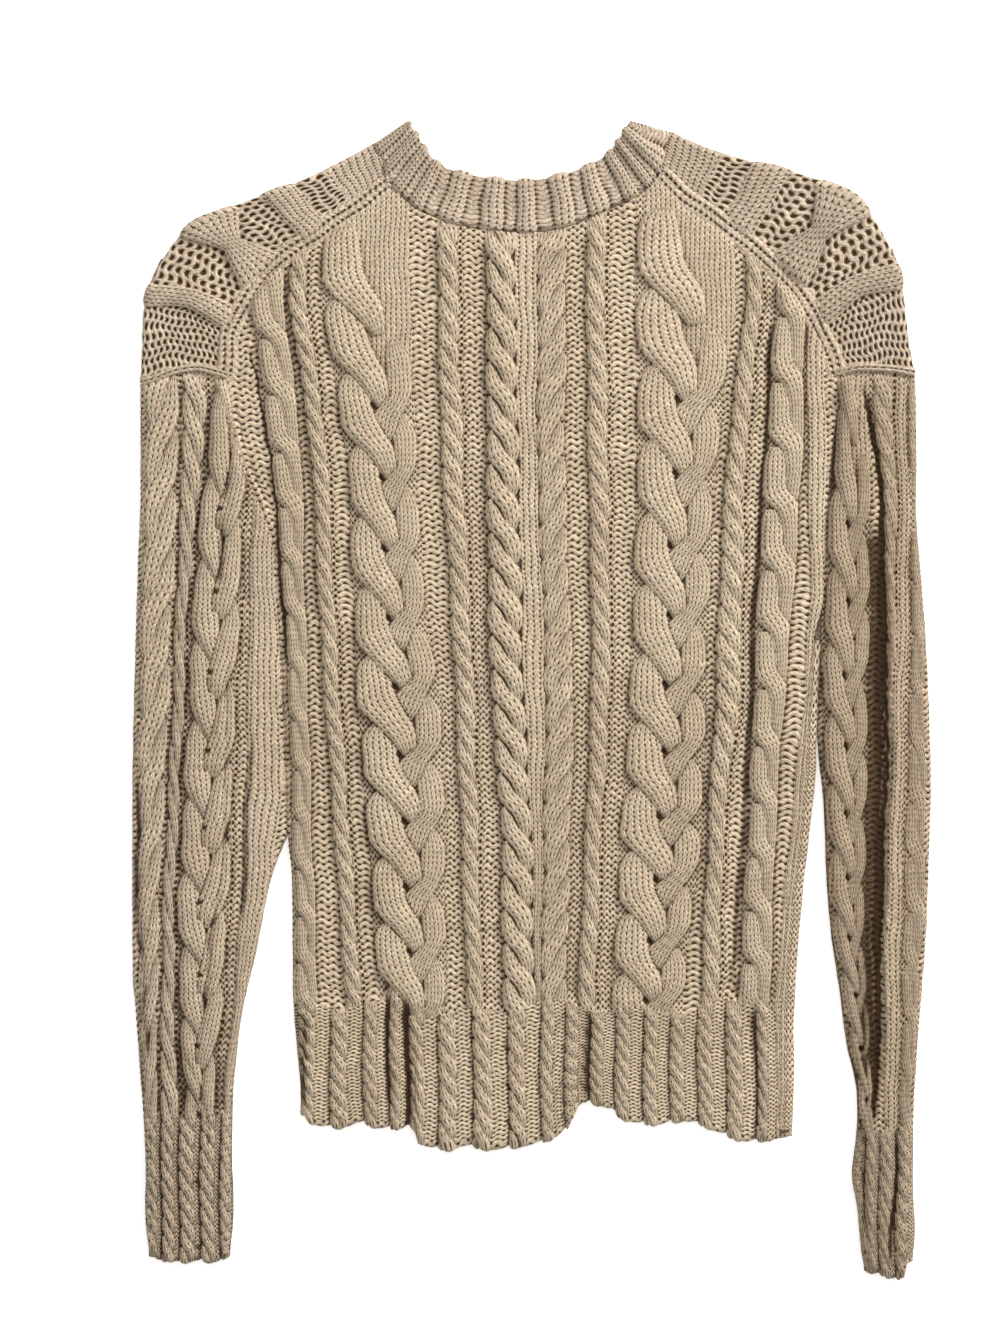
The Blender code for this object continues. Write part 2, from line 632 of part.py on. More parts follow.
def make_neckband():
    """The neckband: a ring of rib, folded at both shoulders."""
    cloth = Cloth()
    top = stations(BACK_BAND, BAND_SPLIT)
    bottom = stations(FRONT_BAND, FRONT_BAND_SPLIT)
    top_at, top_inner = (0, STACK), (0, WALL + LAYER_GAP)
    bottom_at, bottom_inner = (0, 0), (0, WALL)
    ring = []

    def fold(station, outward_sign):
        seam, edge = Vector(station[0:2]), Vector(station[2:4])
        across = (edge - seam).normalized()
        out = Vector((-across.y, across.x)) * outward_sign
        centre_seam, centre_edge = seam - out * FOLD_RADIUS, edge - out * FOLD_RADIUS
        angles = (90, *FOLD_ANGLES, -90)
        for angle in angles if outward_sign < 0 else angles[::-1]:
            cos, sin = math.cos(math.radians(angle)), math.sin(math.radians(angle))
            outer = (FOLD_RADIUS * cos, FOLD_RADIUS + FOLD_RADIUS * sin)
            inner = (INNER_RADIUS * cos, FOLD_RADIUS + INNER_RADIUS * sin)
            ring.append(band_station(cloth, centre_seam, centre_edge, outer, inner, 0, out))

    fold(top[0], 1)
    for i, station in enumerate(top[1:-1], 1):
        phase = math.cos(math.tau * BAND_RIBS * i / (len(top) - 1))
        lift = BAND_RIB_HEIGHT * (0.5 - 0.5 * phase)
        seam, edge = Vector(station[0:2]), Vector(station[2:4])
        ring.append(band_station(cloth, seam, edge, top_at, top_inner, lift, Vector((0, 0))))
    fold(top[-1], -1)
    for station in bottom[1:-1]:
        seam, edge = Vector(station[0:2]), Vector(station[2:4])
        ring.append(band_station(cloth, seam, edge, bottom_at, bottom_inner, 0, Vector((0, 0))))
    for section, following in zip(ring, ring[1:] + ring[:1]):
        cloth.strip(following, section)
    return cloth.build("neckband", BAND_CREAM)


def main():
    for item in list(bpy.data.objects):
        bpy.data.objects.remove(item)
    wrap = stations(RIGHT_WRAP, WRAP_SPLIT)
    left_yoke = stations(LEFT_YOKE, YOKE_SPLIT)
    right_yoke = stations(RIGHT_YOKE, YOKE_SPLIT)
    band = stations(BACK_BAND, BAND_SPLIT)
    left_armhole, right_armhole = outline(LEFT_ARMHOLE), outline(RIGHT_ARMHOLE)
    right_top = [Vector(spot) for spot in flap_spots(right_yoke[-1])[0]]
    left_top = [Vector(spot) for spot in flap_spots(left_yoke[-1])[0]]

    back_loop = outline(HEM)[:-1]
    back_loop += [Vector(s[2:4]) for s in wrap]
    back_loop += right_armhole[:-1]
    back_loop += [Vector(s[2:4]) for s in right_yoke[::-1]]
    neck_ends = LEFT_YOKE[0][2] * MM, RIGHT_YOKE[0][2] * MM
    back_loop += [Vector(s[0:2]) for s in band[::-1] if neck_ends[0] < s[0] < neck_ends[1]]
    back_loop += [Vector(s[2:4]) for s in left_yoke[:-1]]
    back_loop += left_armhole
    back_loop += outline(LEFT_SIDE)[1:-1]
    make_back(back_loop)
    make_front(wrap, right_yoke, left_yoke)
    make_sleeve("sleeve_left", outline(LEFT_SLEEVE_OUTER), outline(LEFT_SLEEVE_CUFF),
                outline(LEFT_SLEEVE_INNER),
                left_armhole[::-1] + left_top[-2:0:-1] + outline(LEFT_SLEEVE_OUTER)[:1],
                left_armhole, LEFT_SLEEVE_CABLES, LEFT_CUFF_RIBS, LEFT_CUFF_TOP)
    make_sleeve("sleeve_right", outline(RIGHT_SLEEVE_INNER), outline(RIGHT_SLEEVE_CUFF),
                outline(RIGHT_SLEEVE_OUTER),
                outline(RIGHT_SLEEVE_OUTER)[-1:] + right_top[1:-1] + right_armhole[::-1],
                right_armhole, RIGHT_SLEEVE_CABLES, RIGHT_CUFF_RIBS, RIGHT_CUFF_TOP)
    make_neckband()


main()
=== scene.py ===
"""The looks of a cable knit sweater that lies flat on its front, with its back panel up.

Each panel is one thin shell of cloth on its solid's form: a fine grid whose height comes
from the panel's cables, ribs, folds and stitches. Every face also carries the wale and the
row of its stitch, which the material uses for the yarn. Tables are in millimetres, in the
frame's own axes: +Y towards the neck, +X to the right, +Z up from the surface.
"""
import math

import bpy
import numpy as np
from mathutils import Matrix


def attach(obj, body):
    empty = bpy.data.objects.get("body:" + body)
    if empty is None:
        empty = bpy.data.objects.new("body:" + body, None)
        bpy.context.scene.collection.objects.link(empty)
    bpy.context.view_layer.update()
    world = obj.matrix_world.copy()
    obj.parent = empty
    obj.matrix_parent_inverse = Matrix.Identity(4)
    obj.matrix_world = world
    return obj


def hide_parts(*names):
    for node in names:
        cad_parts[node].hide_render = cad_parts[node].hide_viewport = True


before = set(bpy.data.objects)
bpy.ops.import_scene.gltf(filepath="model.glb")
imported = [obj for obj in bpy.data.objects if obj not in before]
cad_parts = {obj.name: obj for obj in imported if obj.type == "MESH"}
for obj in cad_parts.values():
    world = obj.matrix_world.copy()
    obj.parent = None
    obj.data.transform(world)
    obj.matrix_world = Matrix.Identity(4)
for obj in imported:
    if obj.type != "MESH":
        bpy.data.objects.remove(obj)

MM = 0.001

# The cloth
WALE, ROW = 3.1, 4.1                # one knit wale across, and one purl row along
KNIT_ROWS = 1.28                    # knit stitches in the length of a purl row
PURL_WALE, LADDER = 7.4, 2.4        # a wave of purl, and the slots beside a thin cable
WALL, LAYER_GAP = 3.1, 0.6          # thickness of a layer and the air between the two
STACK = 2 * WALL + LAYER_GAP        # height of the upper layer's ground
BACK_UNDER = WALL + LAYER_GAP       # height of the upper layer's inner face
KNIT, PURL, NET = 0, 1, 2           # kinds of stitch; a net is purl that is stretched open
STITCH_HEIGHT, PURL_HEIGHT = 0.8, 1.0
LEG_RISE, LEG_WIDTH = 0.6, 0.5      # rows that a knit stitch's leg climbs, and its width in wales
PURL_WAVE = 0.25                    # rows by which a purl bar waves
PURL_OPEN, NET_OPEN = 1.2, 2.1      # how far the gaps between purl bars and a net's holes open
# How far the yarn sinks: beside a leg and more in its gap, in the gap itself, between purl bars
# and more where they wave, and in a net
SIDE_SINK, SIDE_GAP_SINK, GAP_SINK = 0.42, 0.58, 0.45
BAR_SINK, BAR_WAVE_SINK = 0.45, 0.55
NET_SINK, NET_WAVE_SINK = 0.08, 0.92
NUDGE = 0.01                        # for slopes of the knitting
COLUMN_WANDER = 0.6                 # how far cables stray from their lines

# Grids and rims
GRID, UNDER_GRID = 0.88, 3.2        # spacing where the stitches show, and on the underside
EDGE_ROLL, FOLD_ROLL, SEAM_ROLL = 2.6, 3.4, 1.0     # radius of an edge, a fold and a sewn edge
ROLL_STEPS = 7
TURN = np.radians(np.linspace(0, 180, ROLL_STEPS + 1))[1:]      # points of a rolled edge
RIM_DROP = 3.2                      # how far an edge under a seam dips
UNDER_ROLL, UNDER_FOLD_ROLL = 1.5, 3.3      # radius of an edge and a fold of the lower layers
SEWN_BLEND = 6                      # half the length over which an open edge turns to a sewn one
NOT_SEWN, ALL_SEWN = 900, -400      # a side's seam_y when none or all of it is sewn
UNDER_LIFT = 1.1                    # room under the lower layers for their stitches
LOWER_LAYER = {"outer": UNDER_LIFT, "step": UNDER_GRID, "facing": -1, "end_under": WALL}
# Painted shade in creases: how deep a crease is when its painted shade is full, and the blurs that
# its depth is measured from: spots, weight
PAINTED_SHADE_DEPTH, PAINTED_SHADE_BLURS = 3.4, ((1, 0.4), (3, 0.4), (10, 0.3))
# Cuts laid flat: the back's strips, the front's lower layer with the share of it that its
# outline fills, and a sleeve's upper and lower layer
BACK_CUTS = (330, 160), (330, 160), (330, 160), (390, 150)
FRONT_CUT, FRONT_SHARE = (440, 620), 0.75
SLEEVE_CUTS = (90, 560), (85, 560)

# Lines that pieces share: x, y. A yoke's fold and seam run from the neck to the sleeve
HEM = [(-144, -253), (-137, -262), (-121, -265), (-107, -262), (-95, -265), (-74, -266),
       (-71, -274), (-54, -278), (-43, -275), (-26, -277), (-8, -276), (8, -273), (21, -266),
       (26, -256), (31, -250), (48, -253), (55, -259), (73, -263), (96, -261), (114, -267),
       (129, -273), (152, -273)]
LEFT_FOLD = [(-97, 345), (-119, 333), (-144, 321), (-168, 312), (-191, 303), (-212, 293),
             (-227, 276), (-237, 256), (-241, 240), (-242, 219), (-243, 197)]
LEFT_SEAM = [(-90, 320), (-104, 308), (-121, 297), (-135, 287), (-150, 277), (-164, 266),
             (-175, 251), (-184, 235), (-188, 225), (-189, 211), (-190, 197)]
LEFT_ARMHOLE = [(-190, 197), (-188, 185), (-185, 166), (-181, 151), (-176, 135), (-170, 122),
                (-160, 91), (-158, 52)]
LEFT_SIDE = [(-154, -1), (-152, -77), (-149, -113), (-148, -187), (-144, -253), (-144, -285)]
RIGHT_FOLD = [(85, 352), (107, 342), (132, 334), (160, 327), (184, 319), (203, 308), (217, 289),
              (226, 269), (230, 250), (233, 224), (237, 202)]
RIGHT_SEAM = [(79, 326), (95, 310), (111, 299), (127, 287), (141, 276), (154, 263), (165, 251),
              (173, 238), (179, 226), (185, 213), (189, 199)]
RIGHT_ARMHOLE = [(189, 199), (188, 179), (185, 148), (182, 117), (180, 61)]

# Right side, where the front wraps round: edge x, edge y, seam x
RIGHT_WRAP = [(160, -268, 152), (162, -240, 153), (162, -199, 153), (164, -162, 155),
              (167, -125, 158), (171, -88, 163), (175, -51, 166), (176, -23, 168),
              (179, 36, 173.5)]
WRAP_LENGTH, WRAP_WIDTH, WRAP_CUT = 306, 8.5, 22
WRAP_PURL = 3.2                     # how far from its edge it is purl

# The neckband from the left shoulder over the back, and back in front: seam x, y, edge x, y
BACK_BAND = [(-99, 344, -78, 358), (-94, 331, -74, 352.5), (-90, 320, -69, 345),
             (-80, 310, -63.5, 336), (-67, 301, -54, 329), (-44, 293, -37, 324),
             (-20, 290, -18, 321.5), (0, 289, -1.5, 321), (23, 293, 18, 324.5),
             (42, 301, 34, 330), (62, 310, 47, 337.5), (72, 317, 52, 344), (79, 326, 56, 350),
             (87, 351, 61, 358.5)]
FRONT_BAND = [(87, 351, 61, 358.5), (85, 312, 60, 328), (76, 275, 51, 293), (54, 243, 29, 266),
              (23, 228, 13, 261), (0, 225, -2, 258), (-23, 228, -20, 262), (-54, 240, -38, 272),
              (-82, 271, -58, 294), (-96, 309, -72, 328), (-99, 344, -78, 358)]
BACK_BAND_LENGTH, FRONT_BAND_LENGTH, BAND_WIDTH = 235.0, 330.0, 31.0
BAND_RIBS, FRONT_BAND_RIBS, BAND_RIB_HEIGHT = 12, 20, 2.8
BAND_SHARE, BAND_SHADE = 0.6, 0.05  # share of a rib that is raised, and the shade beside it
BAND_GROOVE = 1.6                   # depth of the groove along its seam

# Outlines
BACK_LEFT = [(-150, 290), *LEFT_SEAM[5:10], *LEFT_ARMHOLE, *LEFT_SIDE]
BACK_RIGHT = [(141, 290), *RIGHT_SEAM[5:10], *RIGHT_ARMHOLE, (174, 37),
              *((seam, y) for _, y, seam in RIGHT_WRAP[7:0:-1]), (152, -285)]
BACK_TOP = [(-191, 197), *LEFT_SEAM[8::-1], *(row[:2] for row in BACK_BAND[3:12]),
            *RIGHT_SEAM[:10], (190, 197)]
FRONT_LEFT = [(-103, 345), (-123, 334), (-148, 322), (-172, 313), (-195, 304), (-214, 293),
              (-228, 277), (-238, 256), (-241, 240), (-240, 222), (-238, 208), (-234, 203),
              (-190, 196), *LEFT_ARMHOLE[1:], *LEFT_SIDE]
FRONT_RIGHT = [(91, 352), (111, 343), (136, 335), (164, 328), (188, 320), (206, 308),
               (219, 289), (227, 269), (230, 250), (232, 226), (231, 210), (227, 204),
               (189, 198), *RIGHT_ARMHOLE[1:], *((edge, y) for edge, y, _ in RIGHT_WRAP[:0:-1]),
               (160, -285)]
FRONT_TOP = [(-244, 230), (-241, 245), *LEFT_FOLD[7:0:-1], (-101, 339),
             *(row[:2] for row in FRONT_BAND[9:0:-1]), (89, 346), *RIGHT_FOLD[1:9], (238, 226)]
BACK_HIGH, FRONT_HIGH = 322, 352    # where their knitting starts

# A cable's ropes: how late each starts, the turn from which it shows, and a table of turns since
# its start, its left and right edge in shares of the cable's width, rank and share of the
# height. Where ropes meet, the one with the higher rank lies on top, or the higher one in a
# thin cable. A mirrored cable is a twist that leans the other way
ROPES = {
    "plait": [
        (0.56, -1.75, [(0.00, 0.15, 0.36, 1.0, 0.40), (0.12, 0.05, 0.40, 1.0, 0.56),
                       (0.30, 0.00, 0.44, 1.1, 0.72), (0.45, 0.00, 0.46, 1.3, 0.88),
                       (0.60, 0.00, 0.48, 3.0, 1.00), (0.75, 0.01, 0.54, 3.0, 1.00),
                       (0.90, 0.10, 0.61, 3.0, 1.00), (1.05, 0.22, 0.67, 3.0, 1.00),
                       (1.25, 0.37, 0.70, 3.0, 0.92), (1.36, 0.44, 0.69, 1.6, 0.78),
                       (1.47, 0.52, 0.66, 1.5, 0.50)]),
        (0.13, -0.25, [(0.00, 0.70, 0.86, 0.8, 0.35), (0.14, 0.68, 0.94, 1.0, 0.54),
                       (0.30, 0.67, 0.99, 1.1, 0.68), (0.60, 0.67, 1.00, 2.0, 0.80),
                       (0.76, 0.65, 0.95, 2.0, 0.80), (0.90, 0.54, 0.88, 2.0, 0.78),
                       (1.04, 0.45, 0.80, 1.5, 0.66), (1.25, 0.42, 0.72, 1.5, 0.52),
                       (1.44, 0.42, 0.58, 1.4, 0.35)]),
    ],
    "braid": [
        (0.56, -1.75, [(0.00, 0.16, 0.36, 1.0, 0.40), (0.12, 0.06, 0.40, 1.0, 0.60),
                       (0.30, 0.00, 0.44, 1.1, 0.76), (0.45, 0.00, 0.48, 1.3, 0.92),
                       (0.60, 0.00, 0.52, 2.0, 1.00), (0.80, 0.01, 0.57, 2.0, 1.00),
                       (0.98, 0.10, 0.61, 2.0, 0.98), (1.15, 0.26, 0.65, 2.0, 0.86),
                       (1.28, 0.40, 0.66, 1.8, 0.70), (1.45, 0.52, 0.64, 1.5, 0.40)]),
        (0.10, -0.25, [(0.00, 0.70, 0.88, 0.8, 0.30), (0.14, 0.66, 0.95, 0.9, 0.56),
                       (0.30, 0.61, 1.00, 1.1, 0.78), (0.50, 0.55, 1.00, 3.0, 0.95),
                       (0.72, 0.47, 0.98, 3.0, 1.00), (0.90, 0.40, 0.92, 3.0, 0.98),
                       (1.02, 0.38, 0.86, 3.0, 0.90), (1.12, 0.40, 0.80, 2.4, 0.72),
                       (1.24, 0.46, 0.70, 1.2, 0.40)]),
    ],
    "rope": [
        (0.0, -99, [(0.00, 0.12, 0.42, 1.0, 0.50), (0.12, 0.03, 0.55, 1.1, 0.75),
                    (0.30, 0.00, 0.60, 1.2, 0.92), (0.55, 0.00, 0.62, 1.5, 1.00),
                    (0.68, 0.00, 0.70, 3.0, 1.00), (0.80, 0.05, 0.88, 3.0, 1.00),
                    (0.92, 0.22, 0.99, 3.0, 1.00), (1.04, 0.42, 1.00, 3.0, 1.00),
                    (1.20, 0.53, 1.00, 3.0, 0.95), (1.40, 0.59, 1.00, 2.0, 0.85),
                    (1.70, 0.60, 1.00, 1.4, 0.65), (1.85, 0.62, 0.97, 1.3, 0.50)]),
    ],
    "twist": [
        (0.0, -99, [(0.00, 0.17, 0.19, 0, 0.50), (0.15, 0.05, 0.23, 0, 0.82),
                    (0.33, 0.00, 0.38, 0, 0.96), (0.51, 0.00, 0.48, 0, 1.00),
                    (0.70, 0.00, 0.59, 0, 1.00), (0.85, 0.04, 0.74, 0, 1.00),
                    (1.00, 0.11, 0.86, 0, 1.00), (1.15, 0.22, 0.94, 0, 1.00),
                    (1.33, 0.37, 0.99, 0, 0.96), (1.51, 0.46, 1.00, 0, 0.86),
                    (1.70, 0.55, 0.99, 0, 0.70), (1.85, 0.60, 0.94, 0, 0.54),
                    (2.00, 0.63, 0.85, 0, 0.35)]),
    ],
}
THIN = ("twist", "mirrored")
# Painted shade along the line between the ropes of a thin cable: its strength and width
LINE_SHADE, LINE_WIDTH = 0.25, 1.0  # the dark line between the ropes of a thin cable
MIRRORED_LINE, LINE_END = 0.5, (1.45, 1.8)      # its share in a mirrored one, and where it ends
CORD_STITCH = 0.75                  # its rows in a purl row
EYE_AT, EYE_SIZE, EYE_DEPTH = 0.46, 1.4, 2.2    # the hole at the tip of a plait's rope
ROPE_ROUND = 0.42                   # 1/2 makes a rope round, and less makes it flat-topped
# Share of a cable's height that is one body under its ropes
BODY_SHARES = {"plait": 0.40, "braid": 0.25, "rope": 0.42, "twist": 0.12, "mirrored": 0.42}
BARE_BODY = 0.6                     # how high the body is where no rope covers it
FAR_BODY = 0.5                      # how high a plait's body is on its far side
PATCH_END, PATCH_HEIGHT = 0.75, 1.6  # plain knit at the top of a plait: turns, height

# Columns from a panel's left edge: form, wales in a rope, height, first turn's y, pitch,
# tightening per turn, purl wales before it, and its left and right edge's x at each level
BACK_LEVELS = (247, 151, 61, -1, -72, -187)
BACK_COLUMNS = [
    ("rope", 5, 5.0, 259, 36.5, 0.30, 0,
     (-175, -162, -155, -151, -149, -147), (-154, -143, -141, -139, -137, -133)),
    ("twist", 3, 4.0, 300, 15.6, 0, 0,
     (-151, -137, -133, -129, -124, -116), (-140, -127, -123, -119, -114, -106)),
    ("plait", 6, 6.4, 227, 45.5, 0.322, 1,
     (-131, -115, -111, -109, -103, -95), (-76, -72, -67, -57, -54, -54)),
    ("twist", 3, 4.0, 296, 15.2, 0, 2,
     (-59, -57, -51, -48, -45, -41), (-46, -43, -39, -36, -34, -31)),
    ("twist", 4, 5.2, 316, 21.2, 0, 2,
     (-29, -29, -28, -26, -20, -19), (-10, -8, -6, -5, 0, 2)),
    ("flat", 3, 2.4, 0, 1, 0, 0,
     (-10.6, -8.4, -6.3, -5, -0.8, 1.8), (2.6, 2.4, 6, 7.8, 6.5, 5)),
    ("mirrored", 4, 4.2, 324, 21.6, 0, 0,
     (2.2, 2, 5.6, 7.4, 6.1, 4.6), (21, 20, 23, 26, 24, 21)),
    ("twist", 3, 4.0, 300, 15.8, 0, 2,
     (33, 34, 36, 36, 33, 28), (45, 47, 48, 48, 43, 39)),
    ("plait", 6, 6.4, 233, 47.6, 0.565, 2,
     (64, 65, 62, 60, 55, 49), (126, 114, 109, 107, 106, 93)),
    ("twist", 3, 3.8, 297, 15.9, 0, 1,
     (132, 120, 115, 113, 109, 104), (142, 132, 130, 129, 119, 115)),
    ("rope", 5, 5.8, 236, 40.9, 0.41, 1.6,
     (150.5, 143.5, 139, 136.5, 134, 127), (169, 167.5, 161.5, 156, 151, 147)),
    ("rib", 3, 2.2, 0, 1, 0, 1,
     (170.5, 171, 172.5, 168, 161, 150), (181, 182, 181, 172, 164.5, 153.5)),
]

# Hem rib: where the panel turns to rib, its depth, and the left edge of each rib
RIB_TOP, RIB_BLEND, RIB_WANDER = -192, 9, 3.0
HEM_DEPTH = 76
HEM_VALLEYS = (-146, -125.5, -105, -89, -77, -58.5, -37, -15, 5, 20, 35.5, 51, 68.5, 85, 102,
               120, 139, 151, 158)
HEM_ROPE, CUFF_ROPE = 0.54, 0.74    # share of a rib that is raised rope
RIB_HEIGHT, RIB_VALLEY = 4.2, 2.2
RIB_PITCH, RIB_ROW, RIB_SHIFT = 11.6, 2.6, 5.3      # a rope's repeat, row, and start from the last's
RIB_ROUND = 0.3
TOP_FADE, SIDE_FADE = (1, 12), (-1, 4)      # where the cables sink to the panel's edges
NOTCH = 1.2                         # how far the hem draws up between two ribs

# Creases and soft folds: half width, height, then x, y along it
# How far a crease reaches past its ends and how long it fades, the painted shade of a trough 3 mm
# deep or more, and the lowest the cloth goes
CREASE_END, CREASE_FADE, CREASE_SHADE, LOWEST = 7, 18.0, 0.36, -4.2
BACK_CREASES = [
    (0.8, -1.6, [(-178, 222), (-175, 210), (-171, 197), (-169, 185), (-166, 173), (-164, 160),
                 (-162, 151), (-161, 136), (-160, 123), (-158, 111), (-156, 98)]),
    (1.4, -2.4, [(-158, 111), (-156, 80), (-154, 50), (-153, 20)]),
    (2.2, -1.2, [(148, 232), (146, 180), (142, 120), (137, 60), (135, 0), (131, -70),
                 (126, -140), (122, -180)]),
    (1.2, 0.6, [(169, 216), (170, 200), (170.5, 180), (168.5, 163)]),
    (1.9, 1.1, [(-188, 196), (-186, 182), (-183, 166), (-179, 151), (-174, 135), (-168, 122),
                (-161, 104)]),
    (1.0, -1.0, [(-184, 190), (-182, 176), (-179, 160), (-175, 146), (-170, 132), (-164, 118)]),
    (20, 1.6, [(-20, -120), (-24, -200), (-24, -285)]),
    (30, 1.3, [(-44, -150), (-44, -285)]),
    (2.7, -2.3, [(-91, -175), (-90, -190), (-89, -240), (-89, -262)]),
    (3.1, -2.9, [(-80, -182), (-78, -200), (-77, -240), (-77, -285)]),
    (3.0, -2.6, [(-143, -190), (-142, -230), (-141, -270)]),
    (5.0, -1.6, [(34, -190), (34, -275)]),
    (4.0, -1.6, [(136, -185), (140, -240), (140, -275)]),
    (26, -1.0, [(-96, 40), (-92, -60), (-88, -160)]),
    (30, 0.8, [(0, 260), (0, 60), (4, -60)]),
    (24, -0.8, [(96, 20), (90, -80), (84, -170)]),
]

# Left sleeve
LEFT_SLEEVE_LEFT = [(-243, 215), (-243, 197), (-243, 166), (-243, 123), (-245, 73), (-247, -1),
                    (-248, -63), (-248, -162), (-246, -193), (-243, -234), (-240, -280),
                    (-240, -323), (-238, -342), (-237, -352)]
LEFT_SLEEVE_RIGHT = [(-190, 215), *LEFT_ARMHOLE, *LEFT_SIDE[:2], (-156, -92), (-163, -113),
                     (-168, -137), (-173, -162), (-179, -187), (-183, -212), (-186, -243),
                     (-187, -280), (-186, -320), (-188, -344), (-189, -352)]
LEFT_SLEEVE_BOTTOM = [(-239, -340), (-233, -346), (-225, -347), (-216, -348), (-206, -347),
                      (-197, -348), (-188, -344)]
LEFT_SLEEVE_TOP = [(-244, 197), (-226, 203), (-208, 205), (-190, 200)]
LEFT_SLEEVE_SEWN, RIGHT_SLEEVE_SEWN = 52, 36        # the foot of each armhole
SLEEVE_HIGH = 207                   # where the sleeves' knitting starts
SLEEVE_TOP_FADE, SLEEVE_SIDE_FADE = (1, 10), (-2, 5)
# Painted shade over the left sleeve's lower end and cuff: how dark, then the y and x over which it
# grows, downwards and leftwards
CUFF_SHADE, CUFF_SHADE_DOWN, CUFF_SHADE_LEFT = 0.13, (120, 320), (0, 100)
SLEEVE_LEVELS = (185, 123, 61, -1, -63, -125, -187, -243)
LEFT_SLEEVE_COLUMNS = [
    ("mirrored", 3.6, 4.0, 240, 36, 0, 0,
     (-241, -241, -243, -244, -245, -246, -244, -241),
     (-219, -220, -223, -225, -228, -231, -232, -233)),
    ("twist", 3, 3.2, 240, 24, 0, 0,
     (-217, -218, -221, -223, -226, -229, -230, -231),
     (-201, -207, -214, -216, -219, -222, -222, -220)),
    ("braid", 5, 6.4, 170, 53.1, 0.62, 0,
     (-198, -205, -211, -213, -217, -220, -219, -216),
     (-176, -179, -181, -184, -186, -188, -192, -197)),
    ("rib", 5, 2.0, 0, 1, 0, 1,
     (-171, -173, -175, -176, -178, -180, -185, -191),
     (-162, -161, -159, -156, -155, -164, -177, -187)),
]
LEFT_CUFF_TOP, LEFT_CUFF_DEPTH = -258, 86
LEFT_CUFF_VALLEYS = (-240, -230, -219, -206, -193.5, -186)
LEFT_SLEEVE_CREASES = [
    (1.1, 0.8, [(-218, 180), (-217, 150), (-220, 120), (-223, 61), (-225, 0), (-228, -63),
                 (-230, -125), (-231.5, -187), (-231, -250)]),
    (1.1, 0.8, [(-197, 195), (-202, 160), (-206, 130), (-211, 80), (-213, 20), (-216, -40),
                 (-220, -95), (-221, -140), (-220, -187), (-219, -212)]),
    (1.5, -1.3, [(-219, -212), (-214, -224), (-209, -235), (-203, -255), (-201, -268)]),
    (1.3, -1.0, [(-217, -245), (-207, -258), (-201, -268), (-203, -280)]),
    (2.2, -1.8, [(-188, 30), (-190, -30), (-191, -90), (-199, -150), (-206, -200)]),
    (2.0, -1.8, [(-175, -20), (-177, -63), (-179, -112), (-181, -140)]),
    (2.4, -2.0, [(-244, -50), (-244, -120), (-241, -180), (-238, -225)]),
    (3.0, -1.6, [(-191, 150), (-190, 125), (-193, 95), (-195, 60)]),
    (16, 1.2, [(-176, 60), (-172, -20), (-176, -90)]),
]

# Right sleeve
RIGHT_SLEEVE_LEFT = [(190, 215), *RIGHT_ARMHOLE, (179, 36), (177, -23), (181, -63),
                     (183, -113), (186, -147), (191, -181), (195, -212), (201, -240),
                     (202, -264), (200, -289), (199, -311), (202, -333), (207, -353),
                     (208, -362)]
RIGHT_SLEEVE_RIGHT = [(237, 215), (237, 202), (238, 160), (238, 111), (242, 61), (245, 11),
                      (247, -51), (246, -88), (244, -144), (241, -184), (238, -224),
                      (236, -261), (236, -311), (237, -337), (234, -362)]
RIGHT_SLEEVE_BOTTOM = [(199, -327), (205, -331), (208, -353), (215, -355), (222, -358),
                       (230, -357), (232, -349), (237, -345)]
RIGHT_SLEEVE_TOP = [(189, 202), (208, 205), (222, 205), (238, 203)]
RIGHT_SLEEVE_COLUMNS = [
    ("plait", 5, 6.6, 158.7, 51.1, 1.04, 0,
     (189, 184, 181, 179.5, 182, 184, 192, 203),
     (208, 209, 210, 208, 208, 206, 208, 211)),
    ("twist", 3, 2.6, 230, 19, 0, 1,
     (211, 217, 219, 218, 218, 217, 218, 218),
     (223, 226, 225, 223, 221, 219, 219, 218.5)),
    ("rib", 2, 1.6, 0, 1, 0, 0,
     (225, 227, 226, 224, 222, 219.5, 219.5, 219),
     (231, 233, 233, 230, 229, 228, 227, 226)),
    ("rope", 4, 2.4, 240, 34, 0.01, 1,
     (233, 235, 235, 234, 232, 230, 229, 228),
     (237, 240, 242, 243, 244, 243, 239, 235)),
]
RIGHT_CUFF_TOP, RIGHT_CUFF_DEPTH = -268, 82
RIGHT_CUFF_VALLEYS = (199, 206, 214.5, 225, 236)
RIGHT_SLEEVE_CREASES = [
    (1.8, -3.4, [(205, 195), (208, 180), (213, 155), (216, 123), (217, 80), (215, 20),
                 (214, -40), (214, -100), (213, -160)]),
    (7.0, -3.4, [(213, 110), (213, 40), (212.5, 0), (211.5, -60), (209, -120), (207, -180),
                 (207, -240)]),
    (1.7, -2.8, [(217, 90), (218, 40), (219.5, 0), (219, -60), (216, -120), (214.5, -180),
                 (213, -240), (210, -262)]),
    (3.0, 2.2, [(221, 90), (222, 40), (223.5, 0), (223, -60), (220, -120), (218.5, -180),
                (217, -240), (213, -270)]),
    (2.6, -1.6, [(188, 175), (186, 140), (185, 120)]),
    (1.8, -2.0, [(226, -262), (225, -300), (222, -330), (220, -352)]),
    (2.4, -1.1, [(205, -255), (203, -290), (206, -325)]),
    (9.0, 1.6, [(227, 60), (226, -60), (224, -180), (224, -270)]),
]

